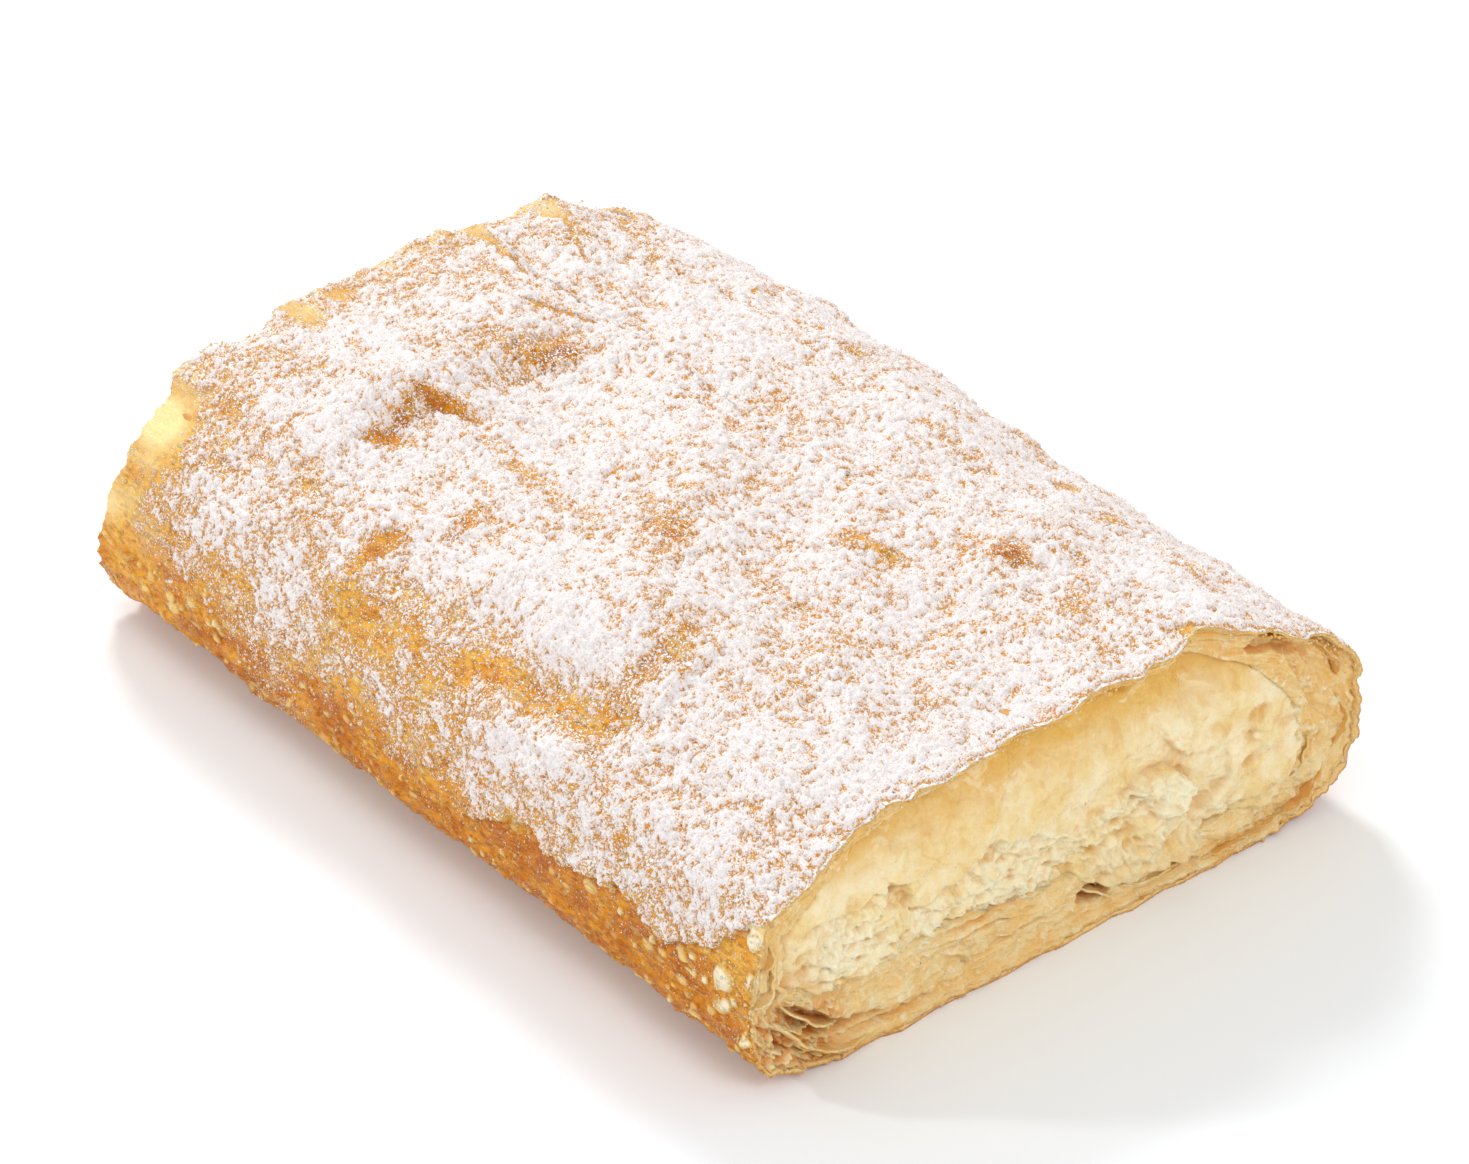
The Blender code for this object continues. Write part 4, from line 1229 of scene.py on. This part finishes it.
packSettings = {
    "front": (72, 0.27 * mm),  # rows from the skin to the curd, and the step round
    "back": (30, 0.5 * mm),
    "leaf": 0.46 * mm,
    "under": 0.42 * mm,  # the pack starts this deep under the baked skin
    "behindCut": 0.6 * mm,
    "turnIn": 7 * mm,  # how far its two edges run back into the roll
    # deep gaps between leaves at the front cut: line (y, z), depth, half-breadth, all in mm
    "gaps": [
        ([(-41.0, 13.0), (-38.9, 9.5), (-35.3, 6.8), (-31.8, 5.0), (-27, 4.4)], 1.6, 0.9),
        ([(-40.5, 8.8), (-36.5, 5.8), (-31, 4.0), (-26, 3.4)], 2.0, 0.4),
        ([(-42.8, 9.6), (-39.4, 5.4), (-35, 3.0)], 1.6, 0.4),
        ([(14.5, 2.4), (17.5, 2.8), (20.5, 1.9)], 2.0, 0.45),
        ([(11, 3.6), (14.5, 4.0), (17, 3.0)], 1.4, 0.35),
        ([(-18.5, 9.0), (-10, 9.8), (-2, 9.0)], 0.9, 0.3),
        ([(-19, 7.0), (-12, 8.2), (-4, 7.2)], 0.9, 0.3), ([(-14, 4.0), (-6, 4.8), (1, 4.2)], 0.7, 0.3),
        ([(39.4, 12.6), (38.6, 11), (36.4, 7)], 0.8, 0.5), ([(22, 3.0), (29, 3.4), (34, 4.6)], 0.7, 0.35),
        ([(-33, 3.0), (-24, 2.2), (-14, 2.4)], 0.8, 0.3),
        ([(24, 29), (30, 27.4), (35, 24), (38, 20)], 1.0, 0.5),
    ],
    # overlapping leaves: line with the upper leaf on its right, height, falloff
    "ledges": [
        ([(-5.7, 9.0), (-9.3, 9.4), (-14, 8.6), (-18, 8.1), (-20.1, 7.8)], 0.7, 1.6),
        ([(4.3, 8.4), (-0.6, 9.3), (-4.2, 9), (-8.2, 7.8), (-11.4, 7), (-13.9, 5.8)], 0.8, 2.0),
        ([(-24, 9.8), (-21.8, 10), (-21.2, 7.8), (-23.2, 7.4), (-24, 9.5)], 0.9, 1.4),
        ([(-18.1, 7.7), (-15.1, 8.0), (-13.6, 5.5), (-17.6, 7.2)], 1.0, 1.4),
        ([(-25.8, 5.1), (-27.9, 4.7), (-31.8, 5.7), (-34.7, 7.8), (-36.4, 10.4)], 1.3, 2.5),
        ([(-19.3, 4.3), (-22, 4.2), (-25, 4.4), (-29, 4.2)], 0.8, 1.6),
        ([(2, 6.4), (-4, 5.6), (-9, 5.8)], 0.7, 1.6),
        ([(-37, 3.4), (-33, 2.4), (-26, 1.8), (-16, 1.7), (-9, 1.9), (7, 1.4)], 0.8, 3.0),
        ([(9, 1.5), (20, 1.4), (30, 1.8), (37, 3.2), (41, 6)], 0.8, 3.0),
        ([(10, 3.6), (14, 3.0), (18, 3.4), (21, 2.6)], 0.8, 1.2),
        ([(30, 4.2), (25, 3.4), (22, 4.4)], 0.7, 1.6),
        ([(30.5, 26.2), (32.5, 24.5), (33.6, 21.2), (36.1, 17.1), (39.2, 13.2), (39.1, 11.9),
          (37.8, 11.1)], 1.4, 5.0),
        ([(38.6, 22), (41.5, 17), (42.6, 12), (41.6, 8), (38, 5)], 0.5, 3.0),
        ([(36.6, 9), (35.4, 6), (31, 4.6)], 0.6, 1.6),
        ([(-39.5, 16), (-41.4, 13), (-41.2, 10)], 0.6, 1.6),
    ],
    "pits": [(5.8, 4.9, 2.8, 1.6, 2.6), (30.5, 28.0, 3.4, 1.0, 1.2), (-41, 12.4, 1.0, 1.4, 1.5)],
}


def packRelief(end, y, z, share, wall, along):  # height of the pressed leaves, and how much painted shade their gaps, grooves and pits get
    salt = 201 if end > 0 else 231
    turned = along / girth * 2 * math.pi
    around = np.stack([np.cos(turned), np.sin(turned)]) * girth / mm / (2 * math.pi)  # seamless way round
    y, z = (y if end > 0 else -y) / mm, z / mm
    place = flatPoints(salt, y, z)
    deep = share * wall / mm + salt
    flat = np.stack([*around * 0.25, deep], axis=1)
    turn = share * np.maximum(1.0, wall / packSettings["leaf"])
    turn = turn + lumpSum(flat, (0.7, 1.6, salt), (0.25, 0.6, salt + 1))
    leaf = np.floor(turn)
    part = turn - leaf
    lane = np.stack([*around, leaf * 5.3 + salt], axis=1)
    reach = lumpSum(lane, (0.5, 4.5, salt + 2), (0.3, 1.4, salt + 3), (0.15, 0.6, salt + 4))
    parted = smoothStep(0.0, 0.5, lumps(lane, 5.0, salt + 5))
    if end > 0:
        parted = parted * (1 - 0.8 * smoothStep(-32, -26, y))
    groove = np.exp(-(np.minimum(part, 1 - part) / 0.14) ** 2)
    height = reach * (0.3 + 0.4 * parted) - groove * (0.05 + 0.4 * parted)
    gapShade = groove * (0.04 + 0.35 * parted)
    warp = 0.35 * lumps(place, 2.0, salt + 6)
    for line, depth, breadth in packSettings["gaps"]:
        away, side, where = lineAway(y + warp, z + warp, line)
        gap = np.exp(-(away / breadth) ** 4) * fadeEnds(where, 0.1)
        height = height - depth * gap
        gapShade = np.maximum(gapShade, gap * min(1.0, depth / 1.5))
    for centreY, centreZ, halfY, halfZ, depth in packSettings["pits"]:
        away = ((y + 2 * warp - centreY) / halfY) ** 2 + ((z + warp - centreZ) / halfZ) ** 2
        pit = smoothStep(1.15, 0.8, away)
        height = height - depth * pit
        gapShade = np.maximum(gapShade, 0.9 * pit)
    if end > 0:
        for line, tall, falloff in packSettings["ledges"]:
            height = height + tall * ledge(y + warp, z + warp, line, falloff, 0.14)
    height = height + lumpSum(place, (0.3, 2.4, salt + 9), (0.2, 1.0, salt + 7), (0.1, 0.5, salt + 8))
    creased = 0.7 * np.abs(lumps(place, 2.0, salt + 14)) + 0.4 * np.abs(lumps(place, 0.9, salt + 15))
    height = height + smoothStep(27, 33, y) * (creased - 0.3)
    if end > 0:  # a ragged lace of torn leaves in the near lower corner
        lace = smoothStep(-29, -35, y) * smoothStep(11.5, 8.5, z - 0.3 * np.maximum(-38 - y, 0))
        weave = lumps(np.stack([*around * 0.5, deep], axis=1), 1.3, salt + 11)
        weave = weave + 0.35 * lumps(place, 0.7, salt + 12)
        strands = 1 - smoothStep(0.06, 0.30, np.abs(weave))
        height = height + lace * (0.8 * (strands - 0.4) + 0.3 * lumps(place, 0.5, salt + 13))
        gapShade = np.maximum(gapShade * (1 - 0.5 * lace), lace * (1 - strands))
    return height * mm, gapShade


def makeLeafPack(name, end):
    rows, step = packSettings["front" if end > 0 else "back"]
    columns = int(girth / step) + 1
    along = np.linspace(0, girth, columns)
    piece, row, column = addGrid(name, rows, columns)
    s, wall = along[column], wallAt(end, along)[1][column]
    start = packSettings["under"] / wall
    share = start + np.clip(1.12 * (row - 1) / (rows - 3), 0.0, 1.12) * (1 - start)
    flat = inWall(end, np.full(len(row), end * wrapSettings["justInside"]), s, share)
    y, z = flat[:, 1], flat[:, 2]
    height, gapShade = packRelief(end, y, z, share, wall, s)
    reach = np.minimum(0.3 * mm, sheetReach(end, along, ragged=0.5)[column] - rollShape["cutPlane"])
    x = rollShape["cutPlane"] + reach - packSettings["behindCut"] + height
    x = x - packSettings["turnIn"] * ((row == 0) | (row == rows - 1))
    x = x - 1.2 * mm * topShare(z) * smoothStep(30 * mm, 20 * mm, np.abs(y))
    movePoints(piece, inWall(end, end * x, s, share))
    edge = smoothStep(1.0 * mm, 0.2 * mm, share * wall)
    amber = 0.1 + 0.4 * topShare(z) + 0.1 * smoothStep(34 * mm, 44 * mm, y) + 0.25 * edge
    amber += 0.3 * lumps(flat, 4 * mm, 77)
    amber += 0.35 * lumps(np.stack([share * wall * 3, y * 0.4, z * 0.4], axis=1), 1.5 * mm, 79)
    amber += 0.25 * smoothStep(5 * mm, 2 * mm, z)
    amber += 0.3 * smoothStep(31 * mm, 38 * mm, end * y) * smoothStep(8 * mm, 16 * mm, z)
    # the gap amount is painted shade in grooves, gaps and pits between the leaves
    paint(piece, amber=amber, browned=edge * (0.8 + 0.3 * lumps(flat, 1.2 * mm, 78)), gap=gapShade * 0.8 - 0.06)
    closeUp(piece)
    finishPiece(piece, leafFinish, "baked_dough")


makeLeafPack("leafPackFront", 1)
makeLeafPack("leafPackBack", -1)


# ---- loose leaves of dough that stand clear of the pack at each cut

leafSettings = {
    "shares": [0.22, 0.5, 0.82],  # from the skin to the curd
    "setback": [0.5, 0.3, 0.7],  # mm
    "clear": 0.7 * mm,  # never nearer the skin than this
    "columnStep": 0.42 * mm,
    "rows": 9,
    "deep": 8 * mm,  # how far they run back into the roll
    "thick": 0.22 * mm,
    "hide": 4 * mm,  # a leaf draws back this far where it isn't loose
    "wave": 0.3 * mm,
}


def makeLooseLeaves(name, end):
    settings = leafSettings
    columns = int(girth / settings["columnStep"]) + 1
    along = np.linspace(0, girth, columns)
    skin, wall = wallAt(end, along)
    y, z = end * skin[:, 1], skin[:, 2]
    sheets = []
    for leaf, (share, setback) in enumerate(zip(settings["shares"], settings["setback"])):
        piece, row, column = addGrid(name + str(leaf), settings["rows"], columns)
        place = flatPoints(leaf * 9 * mm, *skin.T[1:])
        flaky = 0.9 * smoothStep(-30 * mm, -40 * mm, y) * smoothStep(18 * mm, 9 * mm, z)
        flaky -= 0.3 * smoothStep(26 * mm, 32 * mm, y)
        flaky += 0.5 * (leaf == 0) * smoothStep(28 * mm, 30 * mm, z)  # a thin fringe under the top edge
        flaky += 0.35 * smoothStep(4 * mm, 1 * mm, z)
        loose = smoothStep(0.0, 0.35, 0.5 * lumps(place, 6 * mm, 150 + leaf + 20 * end) + flaky - 0.55)
        tear = lumpSum(place, (0.8 * mm, 3.0 * mm, 160 + leaf + 20 * end), (0.35 * mm, 0.9 * mm, 170 + leaf))
        reach = sheetReach(end, along, salt=5 + leaf) - setback * mm + tear - settings["hide"] * (1 - loose)
        inward = (row / (settings["rows"] - 1)) ** 1.7
        x = end * (reach[column] - settings["deep"] * inward)
        flat = np.stack([x, *skin.T[1:, column]], axis=1)
        wave = settings["wave"] * lumps(flat, np.array([4, 6, 6]) * mm, 170 + leaf)
        wave = wave + 0.12 * mm * lumps(flat, 1.6 * mm, 190 + leaf)
        depth = np.clip(share + wave / np.maximum(wall[column], 1.2 * mm), 0.08, 0.98)
        depth = np.maximum(depth, np.minimum(settings["clear"] / wall[column], 0.9))
        points = inWall(end, x, along[column], depth)
        movePoints(piece, points)
        outer = smoothStep(0.3, 0.05, share)
        amber = 0.1 + 0.6 * topShare(points[:, 2]) + 0.4 * outer + 0.3 * lumps(points, 5 * mm, 77)
        amber = amber + 0.4 * smoothStep(36 * mm, 44 * mm, y[column])
        # gap: painted shade, more the deeper a leaf runs into the roll
        paint(piece, amber=amber, browned=outer * 0.6 + 0.3 * lumps(points, 3 * mm, 78),
              gap=smoothStep(0.05, 0.7, inward) * 0.6)
        editAll(piece, mergeSeam)
        sheets.append(piece)
    joinSheets(sheets, name, settings["thick"])


makeLooseLeaves("looseLeavesFront", 1)
makeLooseLeaves("looseLeavesBack", -1)


# ---- single flakes at the front cut, each a thin curled tongue of dough

flakeSettings = {
    # line over the cut (y, z) in mm, how far it sticks out, how far its edge curls up, how brown it is
    "flakes": [
        ([(-41.6, 9.8), (-38.6, 6.2), (-35.5, 3.2)], 1.2, 0.5, 0.2),
        ([(-40.2, 11.0), (-36.8, 7.6), (-32.5, 5.2)], 0.6, 0.4, 0.15),
        ([(-38, 4.6), (-33, 2.4), (-28, 1.4)], 0.9, 0.3, 0.35),
        ([(3.6, 5.6), (6.4, 3.8), (9.0, 2.4)], -0.6, 0.2, 0.1),
        ([(33.4, 5.6), (36.4, 8.4), (38.0, 12.6)], 0.3, 0.8, 0.25),
        ([(-43.4, 12.4), (-41.6, 14.6), (-41.2, 17.6)], 0.5, 0.7, 0.15),
        ([(-42.6, 17.0), (-41.0, 20.0)], 0.4, 0.5, 0.1),
        ([(27.5, 29.4), (31.5, 28.4), (35.5, 26.2), (38.0, 23.6)], 1.3, 0.3, 0.75),
        ([(37.6, 24.4), (40.2, 20.8), (41.4, 17.4)], 0.9, 0.3, 0.6),
        ([(41.8, 15.2), (42.4, 11.8), (41.4, 8.2)], 0.7, 0.3, 0.45),
        ([(39.8, 6.0), (36.2, 3.6), (32.0, 2.2)], 0.8, 0.3, 0.6),
        ([(9, 3.4), (14, 3.0), (19, 3.2)], 0.2, 0.3, 0.3),
        ([(21, 1.6), (28, 1.8), (35, 2.8)], 0.5, 0.3, 0.45),
    ],
    "deep": 5 * mm,
    "thick": 0.26 * mm,
    "step": 0.28 * mm,
    "rows": 12,
}


def makeFlakes():
    sheets = []
    for number, (line, out, curl, tint) in enumerate(flakeSettings["flakes"]):
        corners = np.array(line, float) * mm
        done = np.concatenate([[0], np.cumsum(np.hypot(*np.diff(corners, axis=0).T))])
        columns = max(6, int(done[-1] / flakeSettings["step"]))
        piece, row, column = addGrid("flake" + str(number), flakeSettings["rows"], columns)
        where = column / (columns - 1)
        y, z = (np.interp(where * done[-1], done, side) for side in corners.T)
        tangent = corners[-1] - corners[0]
        tangent /= np.linalg.norm(tangent) * (1 if tangent[0] > 0 else -1)
        inward = (row / (flakeSettings["rows"] - 1)) ** 1.5
        place = flatPoints(number * 7 * mm, y, z)
        tip = fadeEnds(where, 0.03, 0.5)
        reach = rollShape["cutPlane"] + out * mm * tip - 1.2 * mm * (1 - tip)
        reach = reach + lumpSum(place, (0.45 * mm, 1.6 * mm, 301), (0.3 * mm, 0.7 * mm, 302))
        x = reach - flakeSettings["deep"] * inward
        lift = curl * mm * np.clip(1 - inward * 3, 0, 1) ** 2 * (0.6 + 0.5 * lumps(place, 2.4 * mm, 303))
        lift = lift + 0.2 * mm * lumps(np.stack([x, y, z], axis=1), 1.8 * mm, 304)
        points = np.stack([x, y - tangent[1] * lift, np.maximum(0.2 * mm, z + tangent[0] * lift)], axis=1)
        movePoints(piece, points)
        # gap: painted shade, more the deeper a flake runs into the roll
        paint(piece, amber=tint + 0.3 * lumps(points, 2.5 * mm, 77) + 0.1,
              browned=np.full(len(row), max(0.0, tint - 0.3)), gap=smoothStep(0.1, 0.6, inward) * 0.7)
        sheets.append(piece)
    joinSheets(sheets, "doughFlakes", flakeSettings["thick"])


makeFlakes()


# ---- crumbs of dough and loose clumps of sugar

def roundShape(detail):  # corners and faces of a small ball that crumbs are made from
    deselectAll()
    bpy.ops.mesh.primitive_ico_sphere_add(subdivisions=detail, radius=1)
    ball = bpy.context.object
    corners = pointsOf(ball)
    faces = np.array([p.vertices[:] for p in ball.data.polygons])
    bpy.data.objects.remove(ball)
    return corners, faces


def scatterCopies(name, shape, centre, size, draw, uneven):  # one mesh of uneven copies of a shape
    corners, faces = shape
    count = len(centre)
    bulge = 1 - uneven + 2 * uneven * draw.random((count, len(corners), 1))
    squash = 0.7 + 0.6 * draw.random((count, 1, 3))
    points = centre[:, None, :] + corners[None] * bulge * squash * size[:, None, None]
    points[:, :, 2] = np.maximum(points[:, :, 2], 0)
    numbers = (faces[None] + (np.arange(count) * len(corners))[:, None, None]).reshape(-1, 3)
    mesh = bpy.data.meshes.new(name)
    mesh.from_pydata(points.reshape(-1, 3).tolist(), [], numbers.tolist())
    piece = bpy.data.objects.new(name, mesh)
    bpy.context.scene.collection.objects.link(piece)
    return piece


crumbSettings = {
    "seed": 9,
    "uneven": 0.28,
    # along the near front corner: count, then x, height and size, each from and to
    "corner": (120, (60.8 * mm, 50 * mm), (5 * mm, 27 * mm), (0.08 * mm, 0.22 * mm)),
    # at the base and along the top of both cuts: count, then from and to for the distance round, size,
    # place past the edge, height over the skin and tint
    "ends": [
        (400, (-38 * mm, 38 * mm), (0.07 * mm, 0.22 * mm), (0, -0.7 * mm), (0, -0.9 * mm), (0.5, 1.0)),
        (240, (farLow, nearLow), (0.07 * mm, 0.17 * mm), (-0.25 * mm, 0.15 * mm), (-0.2 * mm, -1.0 * mm),
        (0.1, 0.5)),
    ],
}


def makeCrumbs():
    draw = np.random.default_rng(crumbSettings["seed"])

    def within(count, limits, power=1.0):
        return mix(*limits, draw.random(count) ** power)

    count, reaches, heights, sizes = crumbSettings["corner"]
    x = within(count, reaches, 2.2)
    along = alongAtHeight(within(count, heights), near=True)
    size = within(count, sizes, 2)
    lift = crustRelief(x, onSkin(x, along))[0] + 0.3 * size
    made = [(onSkin(x, along, lift), size, within(count, (0.15, 0.65)))]
    for end in (1, -1):
        for count, distances, sizes, past, heights, tints in crumbSettings["ends"]:
            along = within(count, distances) % girth
            size = within(count, sizes, 2)
            x = end * (sheetReach(end, along) + within(count, past))
            made.append((onSkin(x, along, within(count, heights)), size, within(count, tints)))
    centre, size, tint = (np.concatenate(parts) for parts in zip(*made))
    shape = roundShape(2)
    piece = scatterCopies("doughCrumbs", shape, centre, size, draw, crumbSettings["uneven"])
    tint = np.repeat(tint, len(shape[0]))
    paint(piece, amber=tint, browned=tint - 0.45)
    finishPiece(piece, leafFinish, "baked_dough")


makeCrumbs()


clumpSettings = {"count": 4500, "small": 0.06 * mm, "large": 0.2 * mm, "uneven": 0.3, "seed": 5}


def makeSugarClumps():
    draw = np.random.default_rng(clumpSettings["seed"])
    tries = clumpSettings["count"] * 4
    along = mix(farLow, nearLow, draw.random(tries))
    x = mix(-60 * mm, 60 * mm, draw.random(tries))
    height, cover = sugarHeight(x, onSkin(x, along))
    wanted = draw.random(tries) < np.clip(0.05 + 0.9 * cover, 0, 1)
    inside = np.abs(x) < np.where(x > 0, sheetReach(1, along), sheetReach(-1, along)) - 0.4 * mm
    keep = np.flatnonzero(wanted & inside)[: clumpSettings["count"]]
    x, along, height = x[keep], along[keep], height[keep]
    size = mix(clumpSettings["small"], clumpSettings["large"], draw.random(len(x)) ** 3)
    lift = crustRelief(x, onSkin(x, along))[0] + np.maximum(height, 0) + 0.35 * size
    centre = onSkin(x, along, lift)
    piece = scatterCopies("sugarClumps", roundShape(1), centre, size, draw, clumpSettings["uneven"])
    paint(piece, thick=np.ones(len(piece.data.vertices)))
    finishPiece(piece, icingSugarFinish, "icing_sugar")


makeSugarClumps()


# ---- floor, light and camera

stageSettings = {
    "floor": "#F7FAFD",
    "world": 0.7,
    # name: power in watts, size and place in metres
    "lights": {
        "keyLight": (3.8, 0.20, (-0.60, 0.28, 0.62)),
        "sideLight": (2.8, 0.08, (-0.62, -0.75, 0.5)),
        "frontLight": (1.8, 0.28, (0.62, -0.12, 0.62)),
    },
}


def makeFloor():
    deselectAll()
    bpy.ops.mesh.primitive_plane_add(size=6, location=(0, 0, 0))
    floor = bpy.context.object
    floor.name = "floor"
    paper = Look("whitePaper")
    paper.shade({"Base Color": stageSettings["floor"], "Roughness": 0.9, "Specular IOR Level": 0.1})
    floor.data.materials.append(paper.material)


def addSoftLight(name, power, size, place):
    deselectAll()
    bpy.ops.object.light_add(type="AREA", location=place)
    light = bpy.context.object
    light.name = name
    light.data.energy = power
    light.data.size = size
    light.rotation_euler = (-Vector(place)).to_track_quat("-Z", "Y").to_euler()


cameraView = {
    "azimuth": 50.72, "elevation": 35.47, "away": 0.75, "focal": 6421.7,  # focal length in picture pixels
    "originAt": (715.6, 702.3), "picture": (1469, 1164),
}


def makeCamera():
    turn, tilt = math.radians(cameraView["azimuth"]), math.radians(cameraView["elevation"])
    back = Vector((math.sin(turn) * math.cos(tilt), -math.cos(turn) * math.cos(tilt), math.sin(tilt)))
    right = Vector((math.cos(turn), math.sin(turn), 0))
    upward = back.cross(right)
    wide, tall = cameraView["picture"]
    scale = cameraView["away"] / cameraView["focal"]
    aim = right * (wide / 2 - cameraView["originAt"][0]) * scale
    aim -= upward * (tall / 2 - cameraView["originAt"][1]) * scale
    place = back * cameraView["away"]
    bpy.ops.object.camera_add(location=place)
    camera = bpy.context.object
    camera.rotation_euler = (aim - place).to_track_quat("-Z", "Y").to_euler()
    camera.data.sensor_width = 36
    camera.data.lens = cameraView["focal"] * 36 / wide
    camera.data.clip_start, camera.data.clip_end = 0.01, 20
    bpy.context.scene.camera = camera


makeFloor()
for name, (power, size, place) in stageSettings["lights"].items():
    addSoftLight(name, power, size, place)
world = bpy.data.worlds.new("paleStudio")
world.use_nodes = True
world.node_tree.nodes["Background"].inputs["Color"].default_value = (1, 1, 1, 1)
world.node_tree.nodes["Background"].inputs["Strength"].default_value = stageSettings["world"]
bpy.context.scene.world = world
bpy.context.scene.view_settings.view_transform = "Standard"
makeCamera()
print("stage done")

deselectAll()
